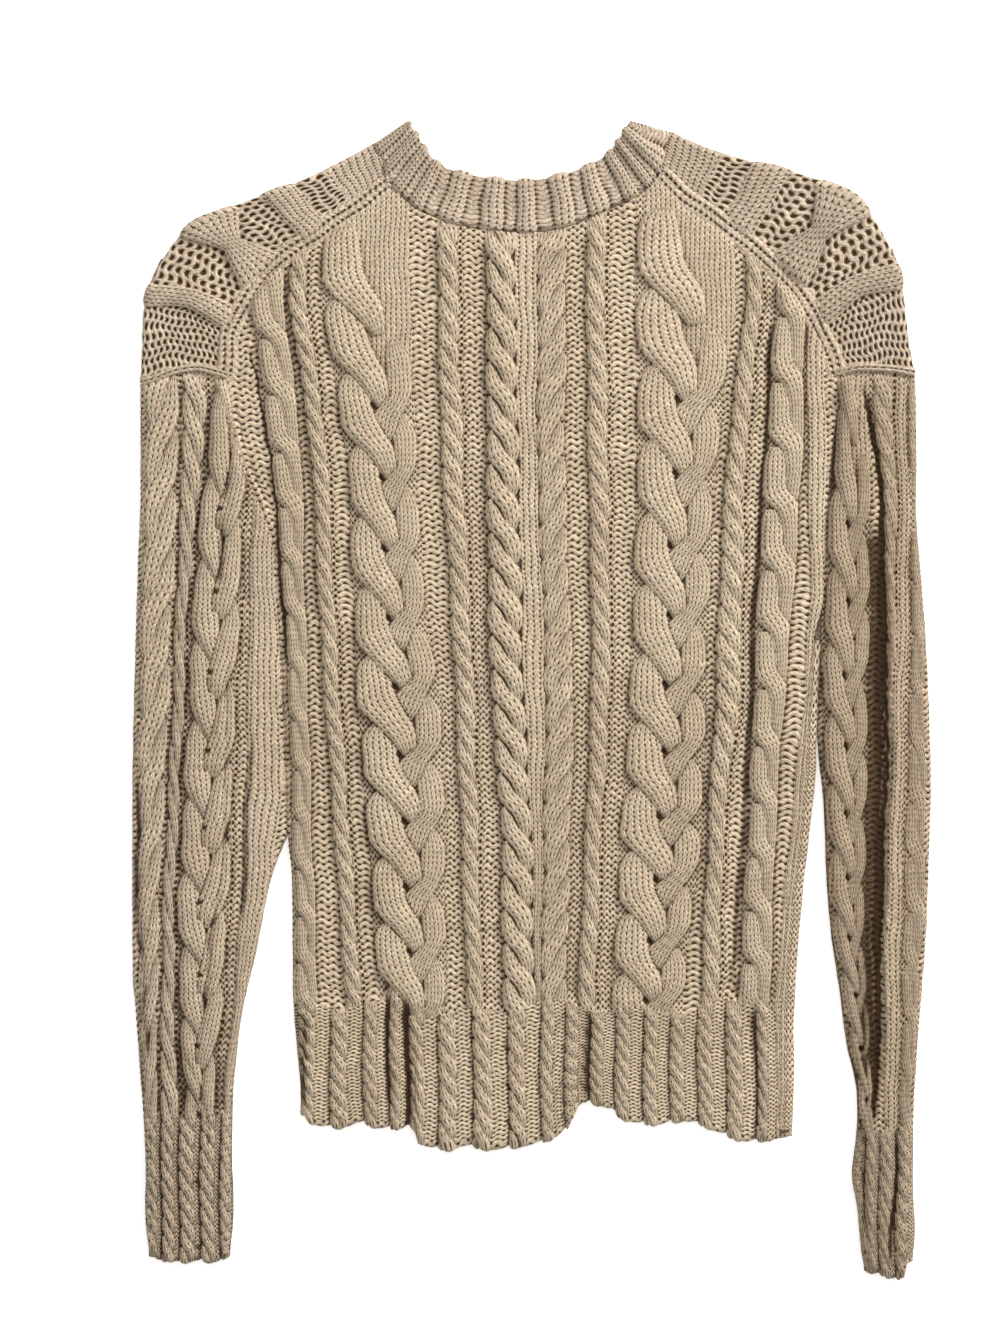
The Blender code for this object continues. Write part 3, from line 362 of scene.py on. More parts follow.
# The yokes, in rows from the neck to the sleeve: fold x, fold y, seam x, seam y, bow
LEFT_YOKE = [(*fold, *seam, bow) for fold, seam, bow in zip(
    LEFT_FOLD, [(-88, 320.5), *LEFT_SEAM[1:]], (0, 0, 0, 0, 0, 0, 1, 2, 3, 4, 6))]
RIGHT_YOKE = [(*fold, *seam, bow) for fold, seam, bow in zip(
    RIGHT_FOLD, [(77, 326.5), *RIGHT_SEAM[1:]], (0, 0, 0, 0, 0, 0, 1, 2, 2, 2, 2))]
YOKE_WALES, YOKE_ROW = 1.9, 4.5     # stretched: wales in one row of the table, and a row
YOKE_BARS, YOKE_BAR = 7.6, 3.3      # where its stitches turn to bars, and a bar's row
CABLE_WALES = 5.2                   # wales of a cable in one row of the table
# Cables that cross a yoke: place in its rows and half width at the fold, waist and seam, height
YOKE_CABLES = [((2.6, 2.75, 2.9), (0.42, 0.45, 0.55), 2.8),
               ((4.55, 4.85, 5.2), (0.85, 0.32, 1.0), 4.4),
               ((7.35, 7.05, 7.25), (0.45, 0.42, 0.7), 3.2)]
YOKE_SHARES = (0.0, 0.45, 1.0)
YOKE_PLAIN = 1.4                    # rows beside the neck that are plain knit
YOKE_SPAN = 44.0                    # mean width from the fold to the seam
YOKE_CUT = YOKE_SPAN + 14           # and the same with what is folded and sewn in
YOKE_CURVE = 1.02                   # length of a yoke's seam over that of its table

# Seams that stand up from the cloth: node, slot, wales, half width, height, then x, y along it
SEAM_ROW, SEAM_SINK, SEAM_RIDGE = 5.0, 1.2, 1.6
# The rows of holes along a seam are painted shade: how dark, and how wide
SEAM_SHADE, SEAM_HOLE = 0.9, 1.1    # the rows of holes along a seam
SEAM_END = 6                        # how far from its ends it sinks, and what is sewn in
SEAMS = {
    "yoke_seam_left": ("front", "yoke_knit", 3, 7.2, 1.4, [(-90, 319), *LEFT_SEAM[1:]]),
    "yoke_seam_right": ("front", "yoke_knit", 3, 7.2, 1.4, [*RIGHT_SEAM[:0:-1], (79, 325)]),
    "sleeve_seam_left": ("sleeve_left", "sleeve_knit", 2, 2.8, 2.0, [
        (-243, 196), (-233, 199), (-222, 203), (-208, 205), (-198, 203), (-189, 200)]),
    "sleeve_seam_right": ("sleeve_right", "sleeve_knit", 2, 2.8, 2.0, [
        (189, 202), (200, 205), (214, 205), (226, 204), (237, 202)]),
}

# Colours, linear
CREAM = (0.785, 0.645, 0.46)
YOKE_CREAM = (0.73, 0.605, 0.45)
# A darker copy of the yoke's colour, as painted shade on the right yoke
SHADED_RIGHT_YOKE_CREAM = (0.64, 0.53, 0.395)
SLEEVE_CREAM = (0.74, 0.605, 0.435)
SHADED_CREAM = (0.63, 0.50, 0.35)   # the right sleeve lies in the shade
BAND_CREAM = (0.71, 0.585, 0.44)
# Painted shade, low between the stitches and in creases
SHADE = (0.060, 0.030, 0.012)       # deep between the stitches
TIRED, ROSY = (0.92, 0.90, 0.88), (1.04, 0.96, 0.98)    # tints of patches in the yarn

# The yarn: scales of its noises per metre, the part of a noise that shows as patches, and for
# each texture its part and the brightness from one end of it to the other
TIRED_SCALE, ROSY_SCALE, CLUMP_SCALE, FIBRE_SCALE = 30.0, 260.0, 620.0, 2400.0
TIRED_PART, ROSY_PART = (0.35, 0.65), (0.5, 0.7)
FIBRE_SHADE, CLUMP_SHADE = (0.3, 0.7, -0.13, 0.09), (0.3, 0.7, 0.90, 1.06)
STREAK_SHADE, CHANCE_SHADE = (0.32, 0.62, -0.32, 0.12), (0.16, -0.08)
# The part of the yarn's height that turns from painted shade to lit, the part of the painted shade
# mask that darkens it, and how far
LIT_PART, CREASE_PART, CREASE_DARK = (0.14, 0.84), (0.5, 1.1), 0.92
# Turns of a yarn's plies across a leg and a bar, and its streaks in a wale and in a row
LEG_PLIES, BAR_PLIES = 1.6, 1.7
LEG_STREAKS, BAR_STREAKS = (6.0, 1.3), (1.6, 6.0)
# The bump: how much each texture raises it, its strength and its depth
YARN_BUMP, PLY_BUMP, FIBRE_BUMP, CHANCE_BUMP, STREAK_BUMP = 0.9, 0.08, 0.22, 0.18, 0.55
BUMP_STRENGTH, BUMP_DEPTH = 0.9, 1.6
ROUGHNESS, SPECULAR = 0.92, 0.08

# The studio, in metres. Lights: name, place, size, watts, colour; all aim at the origin
LIGHTS = [("sky", (0.0, 0.1, 3.0), 2.4, 34, (1, 1, 1)),
          ("key", (2.5, 2.7, 2.1), 1.0, 184, (1.0, 0.985, 0.97))]
WORLD_STRENGTH = 0.40
FLOOR_SIZE, FLOOR_Z = 4.0, -0.0004
FLOOR_GREY, FLOOR_ROUGHNESS, FLOOR_GLOW = 0.92, 0.7, 0.45

# The picture's frame, 1000 by 1333 pixels of 0.62 mm at the height of the upper layer
CAMERA_HEIGHT, SENSOR = 2.5, 24.0   # in metres, and in mm
FRAME_HEIGHT = 826.5
FRAME_CENTRE = (-20.2, 19.8)


def smooth(value, low, high):
    """0 below low, 1 above high, and a smooth rise between them."""
    t = np.clip((value - low) / (high - low), 0, 1)
    return t * t * (3 - 2 * t)


def hump(value):
    """1 in the middle of each whole step of value and 0 between two steps."""
    side = 2 * (value - np.floor(value)) - 1
    return 1 - side * side


def through(rows, i, t):
    """Points on a smooth curve through rows of numbers, at shares t of the stretches i."""
    ends = np.vstack([2 * rows[0] - rows[1], rows, 2 * rows[-1] - rows[-2]])
    p0, p1, p2, p3 = ends[i], ends[i + 1], ends[i + 2], ends[i + 3]
    bend = (2 * p0 - 5 * p1 + 4 * p2 - p3) * t * t + (3 * p1 - p0 - 3 * p2 + p3) * t ** 3
    return (2 * p1 + (p2 - p0) * t + bend) / 2


def stations(table, places):
    """Rows of a table at fractional places, on a smooth curve through them."""
    rows = np.array(table, float)
    i = np.clip(np.floor(places).astype(int), 0, len(rows) - 2)
    return through(rows, i, (places - i)[..., None])


def curve(table, step=2.0):
    """A smooth line through a table, with points about one step apart."""
    lengths = [math.dist(a[:2], b[:2]) for a, b in zip(table, table[1:])]
    places = [i + k / n for i, n in enumerate(max(1, round(d / step)) for d in lengths)
              for k in range(n)]
    return stations(table, np.array(places + [len(table) - 1.0]))


def ordered(table, axis):
    """A smooth line through a table, with its points in order of x or of y."""
    line = curve(table)
    return line[np.argsort(line[:, axis])]


def along_y(table):
    """x of a line that runs down the panel, as a function of y."""
    line = ordered(table, 1)
    return lambda y: np.interp(y, line[:, 1], line[:, 0])


def along_x(table):
    """y of a line that runs across the panel, as a function of x."""
    line = ordered(table, 0)
    return lambda x: np.interp(x, line[:, 0], line[:, 1])


# Stitches

def yarn_height(wale, row, kind):
    """Height of the yarn in its stitch, from 0 in a hole to 1 on top."""
    arm = np.abs(2 * (wale - np.floor(wale)) - 1)
    side = 1 - np.minimum(arm / LEG_WIDTH, 1)
    gap = 1 - hump(row * KNIT_ROWS - LEG_RISE * arm)
    knit = (1 - side * (SIDE_SINK + SIDE_GAP_SINK * gap)) * (1 - GAP_SINK * gap * gap)
    wave = np.cos(2 * np.pi * wale)
    gap = 1 - hump(row + PURL_WAVE * wave)
    purl = 1 - np.minimum(gap * PURL_OPEN, 1) * (BAR_SINK + BAR_WAVE_SINK * wave * wave)
    net = 1 - np.minimum(gap * NET_OPEN, 1) * (NET_SINK + NET_WAVE_SINK * np.abs(wave))
    return np.where(kind < 0.5, knit, np.where(kind < 1.5, purl, net))


class Stitches:
    """The cloth at a set of spots: its height over the ground, its wale, row and kind, and the
    painted shade laid on it.
    """

    def __init__(self, x, y):
        self.x, self.y = x, y
        self.height = np.zeros_like(x)
        self.wale = x / WALE
        self.row = y / ROW
        self.kind = np.full_like(x, PURL)
        self.shade = np.zeros_like(x)

    def relief(self):
        yarn = yarn_height(self.wale, self.row, self.kind)
        return self.height + yarn * np.where(self.kind > 0.5, PURL_HEIGHT, STITCH_HEIGHT)

    def unevenness(self):
        """Rows and wales that wander a little, as in real knitting.

        Each wave has its size, in wales, rows or mm, and the lengths over which it turns.
        """
        x, y = self.x, self.y
        self.wale += 0.08 * np.sin(y / 3.7 + 2.1 * np.sin(x / 9.3))
        self.wale += 0.09 * np.sin(y / 8.9 + x / 5.1)
        self.row += 0.14 * np.sin(x / 2.9 + 1.7 * np.sin(y / 7.9))
        self.row += 0.20 * np.sin(x / 7.3 + y / 23)
        self.height += 0.25 * np.sin(x / 6.1 + 1.3 * np.sin(y / 9.7)) * np.sin(y / 7.3 + x / 31)


def astray(x, y):
    """x with a small wander down the panel."""
    return x + COLUMN_WANDER * np.sin(y / 13 + 2 * np.sin(x / 31))


def turns(y, first, pitch, tighten):
    """How many times a cable has repeated at a height, as its repeats grow shorter."""
    below = first - y
    if tighten == 0:
        return below / pitch
    return (pitch - np.sqrt(np.maximum(pitch * pitch - 4 * tighten * below, 0))) / (2 * tighten)


def lay_ropes(cloth, at, left, right, form, wales, height, first, pitch, tighten):
    """Lays a cable's ropes over the spots at. Where they cross, rank or height decides."""
    x, y = cloth.x[at], cloth.y[at]
    width = right - left
    u = (x - left) / width
    thin, sign = form in THIN, 1.0
    if form == "mirrored":
        u, sign = 1 - u, -1.0
    turn = turns(y, first, pitch, tighten)
    step = np.maximum(pitch - 2 * tighten * turn, 1.0)
    best, lift = np.zeros_like(u), np.zeros_like(u)
    for late, earliest, table in ROPES["twist" if thin else form]:
        rows = stations(table, np.linspace(0, len(table) - 1, 6 * len(table)))
        newest = turn - late - np.floor(turn - late)
        for older in range(math.ceil(rows[-1, 0])):
            along = newest + older
            low, high, rank, share = (np.interp(along, rows[:, 0], rows[:, k]) for k in range(1, 5))
            v = (u - low) / (high - low)
            rise = share * np.maximum(0, 4 * v * (1 - v)) ** ROPE_ROUND
            rank = rise if thin else rank
            wins = (v > 0) & (v < 1) & (along <= rows[-1, 0]) & (rank > best)
            wins &= turn - along > earliest
            # painted shade along the lower edge of each rope of a thin cable
            if thin:
                edge = v * (high - low) * width / LINE_WIDTH
                seen = (along > 1) * (1 - smooth(along, *LINE_END))
                strength = LINE_SHADE * (wales - 2) * (MIRRORED_LINE if sign < 0 else 1)
                cloth.shade[at] += strength * seen * np.exp(-edge * edge)
            spots = at[wins]
            best[wins] = rank[wins]
            lift[wins] = rise[wins]
            cloth.kind[spots] = KNIT
            cloth.wale[spots] = v[wins] * wales + 0.5
            middle = (rows[:, 1] + rows[:, 2]) / 2
            ahead = np.interp(along + 0.1, rows[:, 0], middle)
            behind = np.interp(along - 0.1, rows[:, 0], middle)
            slope = -sign * width / step * (ahead - behind) / 0.2
            aside = sign * (v - 0.5) * (high - low) * width
            row = (y + aside * slope / (1 + slope * slope)) / ROW
            cloth.row[spots] = row[wins] * (CORD_STITCH if thin else 1)
    body = np.maximum(0, 1 - np.abs(2 * u - 1) ** 4) ** 0.7
    if form == "plait":
        body = body * (1 + (FAR_BODY - 1) * smooth(u, 0.35, 0.65))
    bare = best == 0
    flat = BODY_SHARES[form]
    total = height * (flat * body * np.where(bare, BARE_BODY, 1) + (1 - flat) * lift)
    cloth.height[at] = np.maximum(cloth.height[at], total)
    if form in ("plait", "braid"):
        aside, along = (u - EYE_AT) * width, (turn - np.round(turn)) * step
        eye = np.exp(-(aside * aside + along * along) / EYE_SIZE ** 2) * (turn > 0.5)
        cloth.height[at] -= EYE_DEPTH * eye
        # painted shade in the hole
        cloth.shade[at] += 0.5 * eye
        patch = at[bare & (turn < PATCH_END) & (u > 0.1)]
        cloth.kind[patch] = KNIT
        cloth.wale[patch] = cloth.x[patch] / WALE
        cloth.height[patch] = PATCH_HEIGHT


def lay_purl(cloth, left, right, wales, ladder=False):
    """Purl waves between two lines, beside a ladder of open slots next to some cables."""
    at = np.flatnonzero((cloth.x > left) & (cloth.x <= right))
    aside = cloth.x[at] - left[at] - LADDER * ladder
    room = np.maximum((right - left)[at] - LADDER * ladder, 0.5)
    wave = aside / room * wales if wales else aside / PURL_WALE
    cloth.wale[at] = np.where(aside < 0, 0.5 + 0.5 * aside / LADDER + 0.25, wave)
    cloth.kind[at] = np.where(aside < 0, NET, PURL)


def lay_columns(cloth, levels, columns, left_edge, right_edge):
    """Lays a panel's cables and the purl wales between them."""
    before, ladder = left_edge, False
    for form, wales, height, first, pitch, tighten, purl_wales, lefts, rights in columns:
        left = np.interp(cloth.y, levels[::-1], lefts[::-1])
        right = np.interp(cloth.y, levels[::-1], rights[::-1])
        lay_purl(cloth, before, left, purl_wales, ladder)
        at = np.flatnonzero((cloth.x > left) & (cloth.x <= right))
        if form in ("rib", "flat"):
            u = (cloth.x[at] - left[at]) / (right - left)[at]
            cloth.wale[at] = u * wales
            cloth.kind[at] = KNIT
            if form == "flat":
                u[:] = 0.5
            dome = np.maximum(0, 1 - (2 * u - 1) ** 4) ** RIB_ROUND
            cloth.height[at] = np.maximum(cloth.height[at], height * dome)
        else:
            lay_ropes(cloth, at, left[at], right[at], form, wales, height, first, pitch, tighten)
        before = right
        ladder = form == "braid" or (form == "twist" and wales == 3)
    lay_purl(cloth, before, right_edge, 0, ladder)


def lay_ribs(cloth, valleys, rope, share):
    """Ribs of twisted rope with purl between them, which take over where share passes a half."""
    low = np.array(valleys, float)
    k = np.clip(np.searchsorted(low, cloth.x) - 1, 0, len(low) - 2)
    left, width = low[k], (low[k + 1] - low[k])
    u = (cloth.x - left) / width
    rib = Stitches(cloth.x, cloth.y)
    rib.wale = (u - rope) / (1 - rope) * 1.5
    rib.row = cloth.y / RIB_ROW
    cord = np.flatnonzero(u < rope)
    lay_ropes(rib, cord, left[cord], (left + width * rope)[cord], "twist", 3, RIB_HEIGHT,
              RIB_SHIFT * (k[cord] % 3), RIB_PITCH, 0)
    strip = RIB_VALLEY * hump((1 - u) / (1 - rope) / 2) ** 0.5
    rib.height = np.maximum(rib.height, strip * (u > 0.3))
    for name in ("wale", "row", "kind"):
        setattr(cloth, name, np.where(share > 0.5, getattr(rib, name), getattr(cloth, name)))
    cloth.height = cloth.height * (1 - share) + rib.height * share


def lay_creases(cloth, creases):
    """Soft troughs and ridges along their lines, which die out towards their ends. A trough also
    gets painted shade.
    """
    for half_width, height, table in creases:
        line = ordered(table, 1)
        low, high = line[0, 1], line[-1, 1]
        at = np.flatnonzero((cloth.y > low - CREASE_END) & (cloth.y < high + CREASE_END))
        x, y = cloth.x[at], cloth.y[at]
        wander = 0.4 * np.sin(y / 1.9 + 2 * np.sin(y / 7.1))
        away = (x - np.interp(y, line[:, 1], line[:, 0]) + wander) / half_width
        fade = min(CREASE_FADE, 0.45 * (high - low))
        ends = smooth(y, low - CREASE_END, low + fade)
        ends = ends * (1 - smooth(y, high - fade, high + CREASE_END))
        trough = ends * np.exp(-away * away)
        cloth.height[at] += height * trough
        # a trough gets painted shade, full from 3 mm deep
        if height < 0:
            cloth.shade[at] += CREASE_SHADE * np.minimum(1, -height / 3) * trough
    cloth.height = np.maximum(cloth.height, LOWEST)


# Shells

def blurred(values, radius):
    """A soft blur over a grid, by running means."""
    for axis in (0, 1, 0, 1):
        width = min(radius, (values.shape[axis] - 1) // 2)
        pad = [(0, 0), (0, 0)]
        pad[axis] = (width + 1, width)
        total = np.cumsum(np.pad(values, pad, mode="edge"), axis=axis)
        size = total.shape[axis]
        high = np.take(total, range(2 * width + 1, size), axis=axis)
        low = np.take(total, range(size - 2 * width - 1), axis=axis)
        values = (high - low) / (2 * width + 1)
    return values


def painted_shade_of(relief):
    """How deep each spot lies below the cloth around it, from 0 on top to 1 in a crease, as the mask
    of painted shade.
    """
    depth = sum(weight * (blurred(relief, radius) - relief) for radius, weight in PAINTED_SHADE_BLURS)
    return np.clip(0.5 + depth / PAINTED_SHADE_DEPTH, 0, 1)


class Sheet:
    """A grid of cloth: spots p, q in the knitting, their ground points and their normals."""

    def __init__(self, p, q, ground, normal, pattern, same=None, facing=1):
        self.p, self.q = p, q
        self.pattern = pattern
        cloth = pattern(p.ravel(), q.ravel())
        relief = cloth.relief().reshape(p.shape)
        self.points = ground + normal * relief[..., None]
        # painted shade: from how deep each spot lies, plus the pattern's own painted shade
        self.painted_shade = painted_shade_of(relief) + cloth.shade.reshape(p.shape)
        self.same = np.arange(p.size).reshape(p.shape) if same is None else same
        down = self.points[1:, :-1] - self.points[:-1, :-1]
        across = self.points[:-1, 1:] - self.points[:-1, :-1]
        area = across[..., 0] * down[..., 1] - across[..., 1] * down[..., 0]
        self.order = facing if area.sum() > 0 else -facing

    def knit_at(self, loops, face_of, totals):
        """Wale, row and kind at each corner, run on from the middle of its own face."""
        p, q = self.p.ravel(), self.q.ravel()
        middle_p = np.bincount(face_of, p[loops]) / totals
        middle_q = np.bincount(face_of, q[loops]) / totals
        here = self.pattern(middle_p, middle_q)
        beside = self.pattern(middle_p + NUDGE, middle_q)
        above = self.pattern(middle_p, middle_q + NUDGE)
        knit = np.empty((len(loops), 3), np.float32)
        move_p, move_q = p[loops] - middle_p[face_of], q[loops] - middle_q[face_of]
        for slot, name in enumerate(("wale", "row")):
            value = getattr(here, name)
            by_p = np.clip((getattr(beside, name) - value) / NUDGE, -1, 1)
            by_q = np.clip((getattr(above, name) - value) / NUDGE, -1, 1)
            knit[:, slot] = value[face_of] + by_p[face_of] * move_p + by_q[face_of] * move_q
        knit[:, 2] = here.kind[face_of]
        return knit

    def make(self, name, material, rows=slice(None)):
        """The mesh of a stretch of the grid's rows. Corners that have run together are dropped."""
        same = self.same[rows]
        cells = np.stack([same[:-1, :-1], same[:-1, 1:], same[1:, 1:], same[1:, :-1]], -1)
        cells = cells.reshape(-1, 4)[:, ::self.order]
        distinct = cells != np.roll(cells, -1, axis=1)
        full = distinct.sum(1) >= 3
        loops, totals = cells[full][distinct[full]], distinct[full].sum(1)
        face_of = np.repeat(np.arange(len(totals)), totals)
        knit = self.knit_at(loops, face_of, totals)
        used, loops = np.unique(loops, return_inverse=True)
        mesh = bpy.data.meshes.new(name)
        mesh.vertices.add(len(used))
        points = self.points.reshape(-1, 3)[used] * MM
        mesh.vertices.foreach_set("co", points.astype(np.float32).ravel())
        mesh.loops.add(len(loops))
        mesh.loops.foreach_set("vertex_index", loops.astype(np.int32).ravel())
        mesh.polygons.add(len(totals))
        starts = np.concatenate([[0], np.cumsum(totals)[:-1]])
        mesh.polygons.foreach_set("loop_start", starts.astype(np.int32))
        mesh.polygons.foreach_set("loop_total", totals.astype(np.int32))
        mesh.update(calc_edges=True)
        mesh.shade_smooth()
        corner = mesh.attributes.new("knit", "FLOAT_VECTOR", "CORNER")
        corner.data.foreach_set("vector", knit.ravel())
        # the painted shade of each point, by which the material darkens the yarn
        point = mesh.attributes.new("painted_shade", "FLOAT", "POINT")
        point.data.foreach_set("value", self.painted_shade.ravel()[used].astype(np.float32))
        mesh.materials.append(material)
        shell = bpy.data.objects.new(name, mesh)
        bpy.context.scene.collection.objects.link(shell)
        return shell


class Side:
    """A panel's side: its line, and how its cloth rolls under there.

    Above seam_y the side is sewn to its neighbour, so it only dips narrowly to the seam.
    """

    def __init__(self, table, radius, under, seam_y):
        self.line = along_y(table)
        self.radius, self.under, self.seam_y = radius, under, seam_y

    def roll_at(self, y):
        sewn = smooth(y, self.seam_y - SEWN_BLEND, self.seam_y + SEWN_BLEND)
        radius = self.radius + (SEAM_ROLL - self.radius) * sewn
        return radius, self.under + (BACK_UNDER - self.under) * sewn


def panel(left, right, top, bottom, high, rib_top, rib_depth, pattern, outer=STACK, step=GRID,
          facing=1, end_under=BACK_UNDER):
    """The sheet of a panel between two sides, a top line and a bottom line.

    The knitting is laid out straight, and its rows below rib_top, rib_depth long, are drawn to
    the bottom line.
    """
    low = rib_top - rib_depth
    rows = np.arange(low, high + step, step)
    radius_left, under_left = left.roll_at(rows)
    radius_right, under_right = right.roll_at(rows)
    lefts, rights = left.line(rows) + radius_left, right.line(rows) - radius_right
    x = np.arange(lefts.min() - step, rights.max() + 2 * step, step)
    first = np.clip(np.round((lefts - x[0]) / step).astype(int), 0, len(x) - 1)
    last = np.clip(np.round((rights - x[0]) / step).astype(int), first + 1, len(x) - 1)
    count = np.arange(len(rows))
    p = np.tile(x, (len(rows), 1))
    p[count, first], p[count, last] = lefts, rights
    inside = np.clip(np.arange(len(x))[None, :], first[:, None], last[:, None])
    p = np.take_along_axis(p, inside, 1)
    edge = np.hstack([np.tile(lefts[:, None], ROLL_STEPS), p,
                      np.tile(rights[:, None], ROLL_STEPS)])
    roll = np.concatenate([-TURN[::-1], np.zeros(len(x)), TURN])
    roll = np.tile(roll, (len(rows), 1))
    radius = np.where(roll < 0, radius_left[:, None], radius_right[:, None])
    under = np.where(roll < 0, under_left[:, None], under_right[:, None])
    p = edge + radius * roll
    q = np.tile(rows[:, None], p.shape[1])
    same = np.arange(q.size).reshape(q.shape)
    middle = slice(ROLL_STEPS, ROLL_STEPS + len(x))
    same[:, middle] = np.take_along_axis(same, inside + ROLL_STEPS, 1)

    # rows above the top line run together on it
    limit = top(edge)
    over = q > limit
    last_row = np.where(over.any(0), np.argmax(over, axis=0), len(rows) - 1)
    across = np.arange(q.shape[1])
    rim = np.zeros(q.shape, bool)
    rim[last_row, across] = over.any(0)
    q = np.where(rim, limit, q)
    capped = np.minimum(count[:, None], last_row[None, :])
    p, q, edge, roll, radius, under, rim, same = (
        grid[capped, across[None, :]] for grid in (p, q, edge, roll, radius, under, rim, same))

    # rows that roll under the bottom line
    def with_end(grid):
        return np.vstack([np.tile(grid[:1], (ROLL_STEPS, 1)), grid])

    end = np.vstack([np.tile(TURN[::-1, None], p.shape[1]), np.zeros(p.shape)])
    added = ROLL_STEPS * p.shape[1]
    end_same = same[0][None, :] + (np.arange(ROLL_STEPS) * p.shape[1])[:, None]
    same = np.vstack([end_same, same + added])
    p, edge, roll, radius, under = map(with_end, (p, edge, roll, radius, under))
    q, rim = with_end(q), with_end(rim)
    q = q - EDGE_ROLL * end

    share = np.clip((rib_top - q) / (rib_top - low), 0, 1)
    y = np.where(q < rib_top, rib_top + (bottom(edge) + EDGE_ROLL - rib_top) * share, q)
    y = y - EDGE_ROLL * np.sin(end)
    side = np.sign(roll)
    theta = np.maximum(np.abs(roll), end)
    upper = (1 + np.cos(theta)) / 2
    under = np.where(end > np.abs(roll), end_under, under)
    z = under + (outer - under) * upper - facing * RIM_DROP * rim * upper
    ground = np.stack([edge + side * radius * np.sin(np.abs(roll)), y, z], -1)
    normal = np.stack([side * np.sin(np.abs(roll)), -np.sin(end), np.cos(theta) * facing], -1)
    return Sheet(p, q, ground, normal * upper[..., None], pattern, same, facing)


def ribbon(table, pattern, length, span, outer=STACK, under=0.0, radius=FOLD_ROLL,
           ends=(False, False)):
    """The sheet between two lines, ruled from a table's stations: x, y, x, y and bow.

    p runs to length over the stations, and q to span from the first line to the second. The
    first line is rolled under, and each end that ends names dips under a seam.
    """
    a = np.linspace(0, len(table) - 1, max(2, round(length / GRID)) + 1)
    row = stations(table, a)
    b = np.linspace(0, 1, max(2, round(span / GRID)) + 1)
    first, second = row[:, None, 0:2], row[:, None, 2:4]
    inward = second - first
    inward = inward / np.linalg.norm(inward, axis=-1, keepdims=True)
    start = first + inward * radius
    spots = start + (second - start) * b[None, :, None]
    spots[..., 1] += row[:, None, 4] * 4 * b * (1 - b)
    folded = start - inward * radius * np.sin(TURN[::-1])[None, :, None]
    spots = np.concatenate([folded, spots], axis=1)
    theta = np.concatenate([TURN[::-1], np.zeros(len(b))])
    upper = (1 + np.cos(theta)) / 2
    q = np.concatenate([-radius * TURN[::-1], b * span])
    rim = np.zeros(len(theta))
    rim[-1] = RIM_DROP
    z = under + (outer - under) * upper - rim
    p, q = np.meshgrid(a / (len(table) - 1) * length, q, indexing="ij")
    ground = np.dstack([spots, np.broadcast_to(z, p.shape)])
    sideways = -inward * np.sin(theta)[None, :, None]
    normal = np.dstack([sideways, np.broadcast_to(np.cos(theta), p.shape)]) * upper[None, :, None]
    for end, dropped in zip((0, -1), ends):
        if dropped:
            ground[end, :, 2] -= RIM_DROP * upper
    ground[..., 2] = np.maximum(ground[..., 2], under)
    return Sheet(p, q, ground, normal, pattern)


# Material

class Graph:
    """Short calls for a material's nodes."""

    def __init__(self, material):
        self.nodes = material.node_tree.nodes
        self.links = material.node_tree.links

    def put(self, node, name, value):
        if isinstance(value, bpy.types.NodeSocket):
            self.links.new(value, node.inputs[name])
        else:
            node.inputs[name].default_value = value

    def math(self, operation, *values):
        node = self.nodes.new("ShaderNodeMath")
        node.operation = operation
        for i, value in enumerate(values):
            self.put(node, i, value)
        return node.outputs[0]

    def hump(self, value):
        """1 in the middle of each whole step of value and 0 between two steps."""
        side = self.math("MULTIPLY_ADD", self.math("FRACT", value), 2.0, -1.0)
        return self.math("MULTIPLY_ADD", self.math("MULTIPLY", side, side), -1.0, 1.0)

    def mix(self, share, a, b):
        node = self.nodes.new("ShaderNodeMix")
        for i, value in ((0, share), (2, a), (3, b)):
            self.put(node, i, value)
        return node.outputs[0]

    def mix_colour(self, share, a, b, blend="MIX"):
        node = self.nodes.new("ShaderNodeMix")
        node.data_type = "RGBA"
        node.blend_type = blend
        for i, value in ((0, share), (6, a), (7, b)):
            self.put(node, i, value)
        return node.outputs[2]

    def noise(self, vector, scale, detail=2.0, roughness=0.5):
        node = self.nodes.new("ShaderNodeTexNoise")
        for name, value in (("Vector", vector), ("Scale", scale), ("Detail", detail),
                            ("Roughness", roughness)):
            self.put(node, name, value)
        return node.outputs[0]

    def range(self, value, low, high, out_low=0.0, out_high=1.0):
        node = self.nodes.new("ShaderNodeMapRange")
        node.interpolation_type = "SMOOTHSTEP"
        for i, number in enumerate((value, low, high, out_low, out_high)):
            self.put(node, i, number)
        return node.outputs[0]

    def attribute(self, name):
        node = self.nodes.new("ShaderNodeAttribute")
        node.attribute_name = name
        return node


